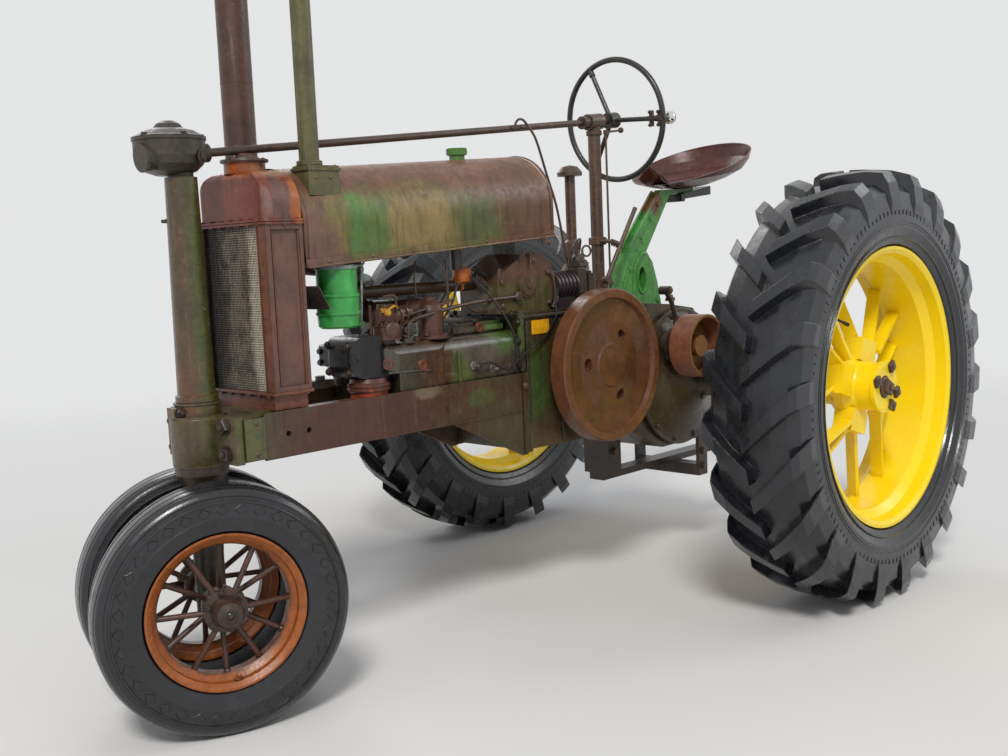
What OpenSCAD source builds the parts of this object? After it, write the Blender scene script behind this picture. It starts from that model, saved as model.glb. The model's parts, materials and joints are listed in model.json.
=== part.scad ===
// Row-crop tractor of the nineteen-thirties with a narrow front, two-cylinder level engine and rubber tyres.
// X points forward, Y to the driver's left, Z up. Places are measured from the ground under the rear axle
// and moved once, by place(), so that the origin lies on the ground under the middle of the whole machine.

/* [Stance] */
// Distance from the rear axle to the steering pivot
wheelbase = 2050; // [1900:1:2200]
// How far the front wheels are turned to the right as parked
steer_angle = 19.2; // [0:0.1:40]
// Half of the frame's width outside the rails
frame_half = 180; // [170:1:195]
// Height of the rails' lower edge
rail_low = 728; // [700:1:750]
// Height of the rails' upper edge
rail_high = 858; // [845:1:900]

/* [Rear wheels] */
// Radius of the rear tyre over the lugs
rear_tyre_r = 747; // [700:1:800]
// Width of the rear tyre
rear_tyre_w = 330; // [300:1:360]
// Distance from the centre line to the middle of the rear tyre
rear_track_half = 915; // [880:1:1000]
// Radius of the rear rim's flange
rear_rim_r = 483; // [470:1:500]
// Width of the rear rim over its flanges
rear_rim_w = 280; // [250:1:300]
// Thickness of the rim's steel
rim_wall = 8; // [5:0.5:12]
// Height of the tread lugs over the carcass
lug_h = 38; // [25:1:45]
// Width of a lug at the middle of the tread
lug_w = 52; // [35:1:60]
// Number of lugs on each side of the tread
lugs = 22; // [18:1:24]
// Number of lugs on a rear hub, each with three flat spokes
hub_lugs = 4; // [3:1:6]
// Radius of the axle shaft
axle_r = 37; // [30:1:42]

/* [Front wheels] */
// Radius of the front tyre
front_tyre_r = 344; // [320:1:360]
// Width of the front tyre
front_tyre_w = 150; // [130:1:160]
// Distance along the axle from the pivot to the middle of a front tyre
front_track_half = 141.5; // [138:0.5:160]
// Radius of the front rim's flange
front_rim_r = 217; // [205:1:225]
// Width of the front rim over its flanges
front_rim_w = 115; // [105:1:125]
// How far the front wheels lean outward at the top
front_camber = 1.5; // [0:0.1:3]
// Number of round spokes in a front wheel
front_spokes = 12; // [8:2:16]
// Radius of the front stub axle
front_axle_r = 20; // [16:1:24]

/* [Steering] */
// Radius of the steering column at its foot
column_r1 = 52; // [46:1:58]
// Radius of the steering column under the gear case
column_r2 = 43.5; // [38:0.5:48]
// Height of the top of the column
column_top = 1505; // [1450:1:1550]
// Radius of the steering gear case
gear_case_r = 95; // [85:1:105]
// Height of the steering shaft over the pivot
shaft_front_z = 1565; // [1550:1:1580]
// Rise of the steering shaft towards the rear
shaft_rise = 5.67; // [4:0.01:7]
// Radius of the steering shaft
shaft_r = 12; // [10:0.5:15]
// Running clearance of a shaft in its bore
running_gap = 0.05; // [0.02:0.01:0.1]
// Place of the steering post ahead of the rear axle
post_x = 277; // [240:1:320]
// Radius of the steering post
post_r = 24; // [20:1:32]
// Outer radius of the steering wheel
hand_wheel_r = 238; // [220:1:250]
// Thickness of the steering wheel's rim
hand_rim_d = 22; // [18:1:26]
// Number of steering wheel spokes
hand_spokes = 3; // [3:1:4]

/* [Radiator and hood] */
// Half of the radiator's width
radiator_half = 172; // [160:1:180]
// Distance from the steering pivot back to the radiator's front
radiator_set_back = 142; // [135:1:160]
// Depth of the radiator
radiator_depth = 123; // [100:1:140]
// Height of the seam between core and top tank
core_top = 1370; // [1340:1:1380]
// Height of the seam between core and bottom tank
core_bottom = 908; // [900:1:930]
// Height of the top of the radiator tank
tank_top = 1549; // [1530:1:1570]
// Half of the hood's width
hood_half = 172; // [160:1:180]
// Height of the hood's lip at its front
hood_lip = 1246; // [1230:1:1260]
// Height of the straight part of the hood's side
hood_side = 113; // [90:1:130]
// Distance from the steering pivot back to the hood's front end
hood_set_back = 274; // [270:1:290]
// Length of the hood
hood_len = 1050; // [1000:1:1100]
// Rise of the hood towards the rear
hood_rise = 3.6; // [2:0.1:5]
// Thickness of the hood's sheet
hood_t = 3; // [2:0.5:5]
// Radius of the exhaust stack
exhaust_r = 48; // [40:1:52]
// Radius of the air intake stack
intake_r = 29; // [25:1:34]
// Height of the top of the exhaust stack
stack_top = 2240; // [2100:1:2400]

/* [Engine] */
// Place of the crankshaft ahead of the rear axle
crank_x = 571; // [550:1:590]
// Height of the crankshaft
crank_z = 853.5; // [840:0.5:870]
// Radius of the flywheel
flywheel_r = 270; // [250:1:280]
// Thickness of the flywheel
flywheel_t = 62; // [50:1:70]
// Outer face of the flywheel from the centre line
flywheel_face = 297; // [285:1:310]
// Radius of the belt pulley
pulley_r = 162; // [140:1:170]
// Width of the belt pulley
pulley_w = 184; // [150:1:200]
// Distance from the steering pivot back to the front of the cylinder head
head_set_back = 550; // [530:1:570]
// Seam between cylinder block and crankcase
block_rear = 908; // [900:1:920]
// Half of the crankcase's width
case_half = 165; // [155:1:168]
// Top of the crankcase
case_top = 1060; // [1040:1:1070]
// Height of the fan's axis
fan_z = 1160; // [1140:1:1180]
// Radius of the fan
fan_r = 175; // [150:1:185]
// Number of fan blades
fan_blades = 4; // [2:1:6]

/* [Seat and hitch] */
// Middle of the seat behind the rear axle
seat_back = 350; // [320:1:400]
// Radius of the seat pan
seat_r = 276; // [250:1:290]
// Height of the bottom of the seat pan
seat_low = 1503; // [1480:1:1530]
// Height of the middle of the drawbar
drawbar_z = 380; // [360:1:400]
// Radius of the drawbar's pin hole
drawbar_hole_r = 13; // [10:0.5:16]
// Thickness of the drawbar
drawbar_t = 26; // [20:1:32]

/* [Hidden] */
$fn = 64;

// Reach of the turned front tyre ahead of the pivot, and the shift that centres the machine
front_reach = front_track_half * sin(steer_angle) + front_tyre_r * cos(steer_angle) + 12;
origin_shift = (wheelbase + front_reach - rear_tyre_r) / 2;
rear_axle_z = rear_tyre_r;
shaft_slope = tan(shaft_rise);
face_gap = 0.3;
radiator_front = wheelbase - radiator_set_back;
radiator_back = radiator_front - radiator_depth;
hood_front = wheelbase - hood_set_back;
head_front = wheelbase - head_set_back;

// Colours as the old paint and rust show them
rust = "#6b4430"; brown = "#5b3a2a"; olive = "#5d5a3a"; green = "#3d7a35"; dark = "#3a3029";
grey = "#6d675c"; yellow = "#f2d311"; black = "#1d1d1f"; orange = "#a5532a";

function shaft_point(x) = [x, 0, shaft_front_z + (wheelbase - x) * shaft_slope];

// Moves the whole machine from the rear axle's frame to its own origin
module place() { translate([-origin_shift, 0, 0]) children(); }
// Box between two corners
module block(low, high) { translate(low) cube(high - low); }
// Round bar between two points
module bar(a, b, d) {
  v = b - a;
  translate(a) rotate([0, acos(v[2] / norm(v)), atan2(v[1], v[0])]) cylinder(d = d, h = norm(v));
}
// Round bar or pipe through a list of points, with fuller knuckles at the bends
knuckle = 1.14;
module bent_bar(points, d) {
  for (i = [0 : len(points) - 2]) bar(points[i], points[i + 1], d);
  for (i = [1 : len(points) - 2]) translate(points[i]) sphere(d = knuckle * d);
}
// Flat rectangle between two corners, with round corners
module round_rect(low, high, r) {
  translate([low[0] + r, low[1]]) square([high[0] - low[0] - 2 * r, high[1] - low[1]]);
  translate([low[0], low[1] + r]) square([high[0] - low[0], high[1] - low[1] - 2 * r]);
  for (x = [low[0] + r, high[0] - r], y = [low[1] + r, high[1] - r]) translate([x, y]) circle(r = r);
}
// The same shape on the left and on the right
module both_sides() { children(); mirror([0, 1, 0]) children(); }
// Flat rectangle between two corners
module block_2d(low, high) { translate(low) square(high - low); }
// Turns a profile drawn in X and Z into a plate that spans y0 to y1
module side_plate(y0, y1) { translate([0, y1, 0]) rotate([90, 0, 0]) linear_extrude(y1 - y0) children(); }
// Turns a profile of radius and offset around an axis along Y
module spun_y() { rotate([-90, 0, 0]) rotate_extrude($fn = 96) children(); }
// Lies along the steering shaft: local Z points forward down the shaft
module along_shaft(x) { translate(shaft_point(x)) rotate([0, 90 + shaft_rise, 0]) children(); }

// Front casting that carries the pivot, the column and the rails
bolster_top = rail_high;
bolster_low = rail_low - 10;
pivot_r = 45;
module bolster() color(olive) place() {
  difference() {
    union() {
      translate([wheelbase, 0, bolster_low]) cylinder(r = 77, h = bolster_top - bolster_low);
      block([wheelbase - 105, 15 - frame_half, bolster_low + 12], [wheelbase - 20, frame_half - 15, bolster_top - 6]);
      block([wheelbase - 28, 5 - frame_half, rail_low], [wheelbase - 4, frame_half - 5, bolster_top]);
      both_sides() block([radiator_back - 12, 60, rail_low + 12],
        [wheelbase - 100, frame_half - 45, rail_high - 6]);
      block([radiator_back + 5, 2 + rail_flange - frame_half, rail_high - 30],
        [wheelbase - 100, frame_half - rail_flange - 2, rail_high]);
    }
    translate([wheelbase, 0, bolster_low - 1]) cylinder(r = pivot_r + running_gap, h = 110);
  }
}

module steering_column() color(olive) place() translate([wheelbase, 0, 0]) {
  rotate_extrude() polygon([[0, bolster_top], [62, bolster_top], [62, bolster_top + 28],
    [column_r1 + 2, bolster_top + 30], [column_r1 + 2, bolster_top + 36], [58, bolster_top + 38],
    [58, bolster_top + 54], [column_r1, bolster_top + 57],
    [column_r2, column_top], [0, column_top]]);
  translate([0, 0, bolster_top]) block([50, -18, 0], [84, 18, 27]);
}

// Case of the steering worm: round bowl, domed lid and the worm's housing along the shaft
case_shift = [17, -18];
shaft_end = 50;
module gear_case() color(dark) place() difference() {
  union() {
    translate([wheelbase, 0, column_top]) cylinder(r = 34, h = 30);
    translate([wheelbase + case_shift[0], case_shift[1], column_top]) rotate_extrude() polygon([[0, 5], [40, 6],
      [68, 16], [gear_case_r - 8, 34], [gear_case_r, 56], [gear_case_r, 98], [gear_case_r + 3, 98],
      [gear_case_r + 3, 108], [gear_case_r - 3, 110], [68, 124], [40, 132], [32, 143], [18, 151], [0, 153]]);
    along_shaft(wheelbase) cylinder(r = 38, h = gear_case_r + 20);
    along_shaft(wheelbase - 86) cylinder(r = 26, h = 60);
  }
  along_shaft(wheelbase - 110) cylinder(r = shaft_r + running_gap, h = 114 - shaft_end);
}

// Channel rails with the gussets at their rear ends
rail_t = 9;
rail_flange = 42;
rail_front = wheelbase - 93;
module frame_rails() color(brown) place() both_sides() difference() {
  union() {
    block([block_rear, frame_half - rail_t, rail_low], [rail_front, frame_half, rail_high]);
    for (z = [rail_low, rail_high - rail_t])
      block([head_front + 130, frame_half - rail_flange, z], [wheelbase - 230, frame_half, z + rail_t]);
    side_plate(frame_half - rail_t, frame_half)
      polygon([[block_rear, rail_low + 1], [block_rear + 342, rail_low + 1], [block_rear + 24, rail_low - 150],
        [block_rear, rail_low - 150]]);
  }
  for (x = [rail_hole_x, rail_hole_x - rail_hole_pitch])
    translate([x, frame_half + 1, rail_hole_z]) rotate([90, 0, 0]) cylinder(r = rail_hole_r, h = rail_t + 2);
}
rail_hole_x = wheelbase - 170;
rail_hole_pitch = 70;
rail_hole_z = 793;
rail_hole_r = 8;

module radiator_bottom_tank() color(orange) place() {
  block([radiator_back + 8, 12 - radiator_half, rail_high],
    [radiator_front - 4, radiator_half - 12, core_bottom - 8]);
  block([radiator_back - 4, -radiator_half - 4, core_bottom - 8],
    [radiator_front + 6, radiator_half + 4, core_bottom]);
}

core_tubes = 5;
core_pitch = 24;
core_tube_w = 7;
module radiator_core() color(grey) place() {
  block([radiator_back + 14, 34 - radiator_half, core_bottom], [radiator_front - 12, radiator_half - 34, core_top]);
  for (i = [-core_tubes : core_tubes]) translate([0, i * core_pitch, 0])
    block([radiator_back + 10, -core_tube_w / 2, core_bottom], [radiator_front - 8, core_tube_w / 2, core_top]);
}

module radiator_sides() color(rust) place() both_sides() difference() {
  block([radiator_back, radiator_half - 34, core_bottom], [radiator_front, radiator_half, core_top]);
  block([radiator_back + 12, radiator_half - 8, core_bottom + 14],
    [radiator_front - 16, radiator_half + 1, core_top - 14]);
  block([radiator_back - 1, radiator_half - 35, core_bottom - 1],
    [radiator_back + 13, radiator_half - 6, core_top + 1]);
}

tank_shoulder = 104;
tank_body_top = tank_top - 26;
tank_edge = 34;
module radiator_top_tank() color(orange) place() {
  for (z = [0, 8]) block([radiator_back - 4, -radiator_half - 4, core_top + z],
    [radiator_front + 6, radiator_half + 4, core_top + z + 6]);
  block([radiator_back, 2 - radiator_half, core_top], [radiator_front - 4, radiator_half - 2, core_top + 14]);
  intersection() {
    translate([radiator_back, 0, 0]) rotate([90, 0, 90]) linear_extrude(radiator_depth + 10) difference() {
      translate([2 - radiator_half, core_top]) square([2 * radiator_half - 4, tank_body_top - core_top]);
      for (s = [0, 1]) mirror([s, 0]) difference() {
        translate([radiator_half - 2 - tank_shoulder, tank_body_top - tank_shoulder]) square(tank_shoulder + 1);
        translate([radiator_half - 2 - tank_shoulder, tank_body_top - tank_shoulder])
          circle(r = tank_shoulder, $fn = 96);
      }
    }
    translate([0, 0, core_top]) linear_extrude(tank_body_top) round_rect([radiator_back - 60, -radiator_half],
      [radiator_front - 4, radiator_half], tank_edge);
    side_plate(-radiator_half - 5, radiator_half + 5) round_rect([radiator_back - 60, core_top - 60],
      [radiator_front - 2, tank_body_top + 2], tank_edge);
  }
  translate([cap_x, 0, tank_body_top - 6]) cylinder(r = 58, h = tank_top - tank_body_top + 6);
}

cap_x = radiator_back + 60;
module radiator_cap() color(brown) place() translate([cap_x, 0, tank_top]) rotate_extrude()
  polygon([[0, 0], [66, 0], [68, 3], [67, 8], [45, 9], [43, 13], [30, 18], [0, 19]]);

// Hood section: straight sides under a round crown
module arch(half, side) intersection() {
  union() {
    translate([-half, 0]) square([2 * half, side]);
    translate([0, side]) circle(r = half, $fn = 96);
  }
  translate([-half, 0]) square([2 * half, side + half]);
}
// Lies along the hood, whose axis rises to the rear: local Z runs from the hood's rear end to its front
module along_hood(from_front, length) {
  translate([hood_front, 0, hood_lip]) rotate([0, hood_rise, 0]) translate([-from_front - length, 0, 0])
    rotate([90, 0, 90]) linear_extrude(length) children();
}
stack_x = wheelbase - 323;
exhaust_y = -190;
intake_x = wheelbase - 348;
intake_y = 112;
intake_box = [intake_x - 75, intake_y - 36, intake_x + 34, intake_y + 38];
fuel_cap_x = hood_front - 768;
filler_r = 26;
lip_t = 4;
lip_h = 24;
module hood() color(olive) place() difference() {
  union() {
    along_hood(0, hood_len) difference() {
      arch(hood_half, hood_side);
      translate([0, -1]) arch(hood_half - hood_t, hood_side + 1);
    }
    along_hood(0, hood_len) for (y = [-hood_half - lip_t, hood_half]) translate([y, 0]) square([lip_t, lip_h]);
  }
  translate([stack_x, exhaust_y, 1200]) cylinder(r = exhaust_r + 4, h = 500);
  block([stack_x - 150, exhaust_y - 20, 1200], [stack_x, exhaust_y + 80, 1358]);
  block([intake_box[0], intake_box[1], 1400], [intake_box[2], intake_box[3], 1600]);
  translate([fuel_cap_x, 0, 1500]) cylinder(r = filler_r + 1, h = 200);
  block([radiator_back - 4.5, -200, 1200], [radiator_back + 60, 200, 1700]);
}

tank_gap = hood_t + face_gap;
tank_floor = 60;
module fuel_tank() color(dark) place() difference() {
  union() {
    along_hood(225, 745) intersection() {
      translate([0, -1]) arch(hood_half - tank_gap, hood_side + 1);
      translate([-hood_half, tank_floor]) square([2 * hood_half, 300]);
    }
    translate([hood_front - 656, 90, 1215]) cylinder(r = 20, h = 140);
    block([775, -30, governor_top], [825, 30, hood_lip + tank_floor + 80]);
  }
  translate([fuel_cap_x, 0, filler_low]) cylinder(r = filler_r + running_gap, h = 200);
}

filler_low = 1545;
module fuel_cap() color(green) place() translate([fuel_cap_x, 0, 0]) {
  translate([0, 0, filler_low]) cylinder(r = filler_r, h = 50);
  translate([0, 0, filler_low + 50]) cylinder(r = 33, h = 22);
}

module exhaust_stack() color(rust) place() {
  translate([stack_x, exhaust_y, 1330]) difference() {
    cylinder(r = exhaust_r, h = stack_top - 1330);
    translate([0, 0, 200]) cylinder(r = exhaust_r - 5, h = stack_top);
  }
  bent_bar([[stack_x, exhaust_y, 1350], [stack_x, exhaust_y, 1318], [stack_x - 85, exhaust_y + 45, 1262],
    [manifold_out[0], manifold_out[1], 1232], manifold_out], 62);
  translate(manifold_out) cylinder(r = 50, h = 12);
}

module intake_stack() color(olive) place() {
  difference() {
    translate([intake_x, intake_y, 1530]) cylinder(r = intake_r, h = stack_top - 1560);
    translate([intake_x, intake_y, 1600]) cylinder(r = intake_r - 3, h = stack_top);
  }
  block([intake_box[0], intake_box[1], 1450], [intake_box[2], intake_box[3], 1535]);
  block([air_x - intake_r, air_y - intake_r, air_top], [intake_x - 5, air_y + intake_r, 1451]);
}

air_x = wheelbase - 420;
air_y = 112;
air_top = 1440;
module air_cleaner() color(green) place() translate([air_x, air_y, 0]) rotate_extrude()
  polygon([[0, 1066], [52, 1066], [60, 1072], [62, 1104], [66, 1106], [66, 1113], [63, 1115], [63, 1156], [66, 1158],
    [66, 1163], [60, 1166], [60, 1240], [54, 1250], [intake_r, 1256], [intake_r, air_top], [0, air_top]]);

// Two level cylinders side by side with their head in front
block_top = 1002;
head_rear = head_front - 190;
seam_x = [head_rear - 2, head_rear - 110];
barrel_y = 82;
barrel_r = 82;
module cylinder_block() color(grey) place() {
  translate([block_rear, 0, 0]) rotate([90, 0, 90]) linear_extrude(head_rear - block_rear) {
    round_rect([-160, 735], [160, block_top], 50);
    for (y = [-barrel_y, barrel_y]) translate([y, 868]) circle(r = barrel_r);
  }
  for (x = seam_x) block([x - 7, -169, 790], [x + 7, 169, 956]);
  intersection() {
    side_plate(-175, 175) union() {
      round_rect([head_rear - 80, 918], [head_front, block_top], 34);
      block_2d([head_rear - 80, 740], [head_front - 48, 970]);
    }
    linear_extrude(block_top + 10) round_rect([head_rear - 80, -166], [head_front + 3, 166], 56);
    rotate([90, 0, 90]) linear_extrude(wheelbase) round_rect([-169, 700], [169, block_top + 3], 50);
  }
  both_sides() block([head_front - 190, 150, 748], [head_front - 50, frame_half - rail_t, 848]);
}

module valve_cover() color(black) place() {
  cover_wide = [[head_front - 30, 930], [head_front + 36, 1000]];
  intersection() {
    side_plate(-145, 145) round_rect(cover_wide[0], cover_wide[1], 22);
    linear_extrude(1100) round_rect([head_front - 60, -140], [head_front + 38, 140], 32);
    block([head_front, -140, 900], [head_front + 60, 140, 1040]);
  }
  intersection() {
    side_plate(5, 150) round_rect([head_front - 80, 908], [head_front + 114, 1034], 46);
    linear_extrude(1100) round_rect([head_front - 80, 10], [head_front + 116, 146], 34);
    block([head_front, 0, 900], [head_front + 120, 150, 1040]);
  }
}

manifold_out = [head_front - 110, -110, 1165];
manifold_x = head_front - 238;
manifold_y = 105;
manifold_z = 1094;
module manifold() color(orange) place() {
  translate([manifold_x, manifold_y, block_top]) rotate_extrude()
    polygon([[0, 0], [55, 0], [55, 14], [44, 16], [44, 92], [40, 108], [28, 120], [12, 126], [0, 127]]);
  translate(manifold_out) rotate_extrude() polygon([[0, 0], [50, 0], [50, -12], [42, -14], [42, -80], [36, -98],
    [22, -108], [0, -112]]);
  bar([manifold_x, manifold_y, manifold_z], [manifold_out[0], manifold_out[1], manifold_z], 72);
}

module carburettor() color(orange) place() translate([head_front - 46, 0, block_top]) {
  translate([-6, 96, 0]) cylinder(r = 34, h = 20);
  translate([0, 118, 14]) cylinder(r = 42, h = 44);
  translate([0, 118, 56]) cylinder(r = 28, h = 66);
  translate([-52, 118, 84]) rotate([0, 90, 0]) cylinder(r = 24, h = 92);
  translate([-100, 110, 90]) rotate([0, 90, 0]) cylinder(r = 20, h = 60);
}

filter_x = head_front + 27;
filter_y = 106;
module filter_can() color(orange) place() {
  translate([filter_x, filter_y, 0]) rotate_extrude()
    polygon([[0, 736], [58, 736], [58, 872], [63, 876], [63, 890], [58, 894], [54, 906], [0, 906]]);
  block([head_front - 48, filter_y - 25, 770], [filter_x - 30, filter_y + 25, 840]);
}

// Housing of the governor on the crankcase, with the tube that carries the fan's shaft forward
fan_x = wheelbase - 315;
governor_front = 975;
governor_top = 1258;
governor_span = [-50, 132];
module governor_case() color(brown) place() difference() {
  union() {
    side_plate(governor_span[0], governor_span[1]) polygon([[716, case_top], [governor_front, case_top],
      [governor_front, 1170], [948, 1196], [834, governor_top], [765, governor_top], [700, 1214],
      [700, case_top + 40]]);
    translate([governor_front - 5, 0, fan_z]) rotate([0, 90, 0]) cylinder(r = 20, h = fan_x - 35 - governor_front);
    translate([governor_front - 10, 78, 1128]) rotate([0, 90, 0]) cylinder(r = 34, h = 24);
    translate([834, 100, 1150]) rotate([-90, 0, 0]) cylinder(r = 42, h = 40);
  }
  translate([fan_x - 100, 0, fan_z]) rotate([0, 90, 0]) cylinder(r = 10 + running_gap, h = 100);
}

magneto_rear = [582, 112, 1136];
magneto_len = 118;
magneto_r = 50;
module magneto() color(dark) place() {
  block([600, 66, case_top], [690, 150, 1100]);
  translate(magneto_rear) rotate([0, 90, 0]) {
    cylinder(r = magneto_r, h = magneto_len);
    for (rib = [8 : 20 : 108]) translate([0, 0, rib]) cylinder(r = magneto_r + 4, h = 7);
  }
}

breather_x = 470;
breather_y = 35;
module breather() color(rust) place() translate([breather_x, breather_y, 0]) rotate_extrude()
  polygon([[0, case_top - 10], [50, case_top - 10], [50, 1180], [30, 1210], [30, 1290], [19, 1300], [19, 1530],
    [46, 1532], [46, 1545], [30, 1565], [0, 1572]]);

module crankcase() color(olive) place() difference() {
  union() {
    side_plate(-case_half, case_half) polygon([[block_rear, 590], [block_rear, case_top], [560, case_top],
      [530, case_top - 10], [240, case_top - 10], [60, 1036], [-110, 1010], [-215, 900], [-240, 747], [-215, 600],
      [-120, 480], [120, 478], [300, 560], [560, 585]]);
    both_sides() block([block_rear - 34, case_half - 1, 582], [block_rear, frame_half - rail_t, rail_high]);
    translate([crank_x, -flywheel_face + flywheel_t + 12, crank_z]) rotate([-90, 0, 0])
      cylinder(r = 100, h = 2 * (flywheel_face - flywheel_t - 12));
  }
  translate([crank_x, -flywheel_face, crank_z]) rotate([-90, 0, 0])
    cylinder(r = crank_r + running_gap, h = 2 * flywheel_face);
}
crank_r = 38;

drum_x = 140;
drum_z = 885;
drum_seat = 262;
module axle_housings() color(olive) place() both_sides() translate([0, 0, rear_axle_z]) difference() {
  union() {
    translate([drum_x, 0, drum_z - rear_axle_z]) spun_y() polygon([[0, case_half], [84, case_half], [84, 214],
      [56, 224], [56, drum_seat], [0, drum_seat]]);
    spun_y() polygon([[0, case_half], [262, case_half], [262, 182], [235, 190], [150, 230], [95, 270], [71, 300],
      [64, 420], [60, 640], [72, 644], [72, 668], [0, 668]]);
  }
  translate([0, 560, 0]) rotate([-90, 0, 0]) cylinder(r = axle_r + running_gap, h = 200);
}

module brake_drums() color(rust) place() both_sides() translate([drum_x, 0, drum_z]) {
  spun_y() polygon([[0, drum_seat], [56, drum_seat], [56, 302], [112, 302], [118, 308], [118, 400], [108, 400],
    [108, 318], [40, 318], [40, 372], [0, 372]]);
}

module steering_post() color(brown) place() difference() {
  union() {
    translate([post_x, 0, case_top - 10]) cylinder(r = 46, h = 14);
    translate([post_x, 0, case_top - 10]) cylinder(r = post_r, h = shaft_point(post_x)[2] - case_top);
    along_shaft(post_x - 38) cylinder(r = 30, h = 76);
  }
  along_shaft(post_x - 60) cylinder(r = shaft_r + running_gap, h = 120);
}

lever_pivot = [328, 80, 1143];
module hand_levers() color(brown) place() {
  translate([335, 80, case_top - 10]) cylinder(r = 18, h = 24);
  bar([335, 80, case_top], lever_pivot, 16);
  bar(lever_pivot, [145, 85, 1412], 18);
  translate(lever_pivot - [0, 14, 0]) rotate([-90, 0, 0]) cylinder(r = 15, h = 28);
  throttle = [post_x - 26, 36, 1700];
  translate([throttle[0], throttle[1], 1095]) cylinder(r = 4, h = throttle[2] - 1095);
  translate(throttle - [0, 0, 8]) cylinder(r = 9, h = 16);
  bar(throttle, throttle + [-94, 0, 12], 8);
  translate(throttle + [-94, 0, 12]) sphere(r = 11);
  block([post_x - 35, post_r, 1120], [post_x + 8, 44, 1136]);
}

module brake_pedals() color(dark) place() both_sides() {
  translate([drum_x, 0, drum_z]) spun_y() polygon([[56 + running_gap, 250], [70, 250], [70, 261],
    [56 + running_gap, 261]]);
  bent_bar([[drum_x, 256, drum_z + 66], [drum_x - 2, 256, 990], [drum_x + 22, 256, 1050],
    [drum_x + 62, 256, 1096]], 18);
  translate([drum_x + 62, 236, 1096]) rotate([-90, 0, 0]) cylinder(r = 16, h = 44);
}

arch_half = 38;
channel_half = 26;
module seat_support() color(green) place() {
  side_plate(-arch_half, arch_half) difference() {
    polygon([[210, 1048], [160, 1160], [118, 1240], [20, 1245], [-20, 1200], [-50, 1120], [-75, 1015.65],
      [60, 1036.3]]);
    translate([30, 1082]) round_rect([0, 0], [46, 100], 22.9);
  }
  side_plate(10 - channel_half, channel_half - 10) polygon([[112, 1230], [-2, 1230], [-180, 1466], [-200, 1474],
    [-seat_back, seat_low - 20], [-seat_back, seat_low - pan_gap],
    [88 - seat_back, seat_low - pan_gap - 88 * tan(seat_tilt - 3.18)], [-122, 1488]]);
  for (y = [-channel_half, channel_half - 10]) side_plate(y, y + 10) polygon([[118, 1236], [106, 1262],
    [-106, 1486], [-118, 1478], [84, 1236]]);
}

// Pressed pan: a deep dish cut off low in front, with a notch between the places for the legs
seat_tilt = 10;
pan_gap = 0.4;
seat_cut = 11.5;
seat_rim = 88;
pan_t = 5;
module seat_pan() color(rust) place() translate([-seat_back, 0, seat_low]) rotate([0, seat_tilt, 0]) difference() {
  rotate_extrude($fn = 96) polygon([[0, 0], [90, 5], [160, 22], [seat_r - 52, 48], [seat_r - 20, 84],
    [seat_r - 4, 128], [seat_r, 175], [seat_r - pan_t, 175], [seat_r - pan_t - 5, 129], [seat_r - 25, 88],
    [seat_r - 56, 53], [158, 27], [89, 10], [0, pan_t]]);
  translate([0, 0, seat_rim]) rotate([0, seat_cut, 0]) block([-400, -400, 0], [400, 400, 300]);
  translate([seat_r - 8, 0, 0]) cylinder(r = 46, h = 200);
  for (p = seat_holes) translate([p[0], p[1], 0]) cylinder(r = 11, h = 100);
}
// Columns: forward and left from the middle of the pan
seat_holes = [[-120, 0], [-85, 85], [-85, -85], [0, 125], [0, -125]];

module drawbar() color(dark) place() difference() {
  block([-640, -35, drawbar_z - drawbar_t / 2], [330, 35, drawbar_z + drawbar_t / 2]);
  translate([-600, 0, drawbar_z - drawbar_t]) cylinder(r = drawbar_hole_r, h = 2 * drawbar_t);
}

// What carries the drawbar: a foot under the crankcase and a stirrup under the rear axle
module drawbar_frame() color(dark) place() {
  side_plate(-60, 60) polygon([[250, drawbar_z + drawbar_t / 2], [330, drawbar_z + drawbar_t / 2], [330, 562.5],
    [300, 559.7], [250, 536.9]]);
  both_sides() side_plate(150, 164) polygon([[-190, drawbar_z - 60], [-130, drawbar_z - 60], [-130, 492.3],
    [-190, 568.1]]);
  block([-190, -150, drawbar_z - 60], [-130, 150, drawbar_z - drawbar_t / 2]);
}

// Half of the flat part of the front tyre's crown, and the axle height at which the leaning tyre meets the ground
front_crown_flat = 28;
front_axle_z = front_tyre_r * cos(front_camber) + front_crown_flat * sin(front_camber);
// Frame of the turned front axle at the steering pivot
module steered() { translate([wheelbase, 0, 0]) rotate([0, 0, -steer_angle]) children(); }
// Frame of one front wheel: its axis along Y, origin at the tyre's middle
module front_wheel_frame() {
  steered() translate([0, front_track_half, front_axle_z]) rotate([-front_camber, 0, 0]) children();
}

module spindle() color(dark) place() {
  steered() {
    translate([0, 0, bolster_low - 2]) cylinder(r = pivot_r, h = 100);
    rotate_extrude() polygon([[0, 460], [42, 460], [54, 655], [72, 690], [74, 694], [74, bolster_low - face_gap],
      [0, bolster_low - face_gap]]);
    translate([0, 0, front_axle_z - 60]) cylinder(r = 42, h = 200);
  }
  both_sides_steered() front_wheel_frame() {
    translate([0, -front_track_half - 10, 0]) rotate([-90, 0, 0]) cylinder(r = 34, h = 88);
    translate([0, -front_track_half, 0]) rotate([-90, 0, 0]) cylinder(r = front_axle_r, h = front_track_half + 60);
  }
}
// The same shape on both ends of the turned axle
module both_sides_steered() {
  children();
  steered() mirror([0, 1, 0]) rotate([0, 0, steer_angle]) translate([-wheelbase, 0, 0]) children();
}
// The same shape on the right end only
module right_steered() {
  steered() mirror([0, 1, 0]) rotate([0, 0, steer_angle]) translate([-wheelbase, 0, 0]) children();
}

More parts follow.
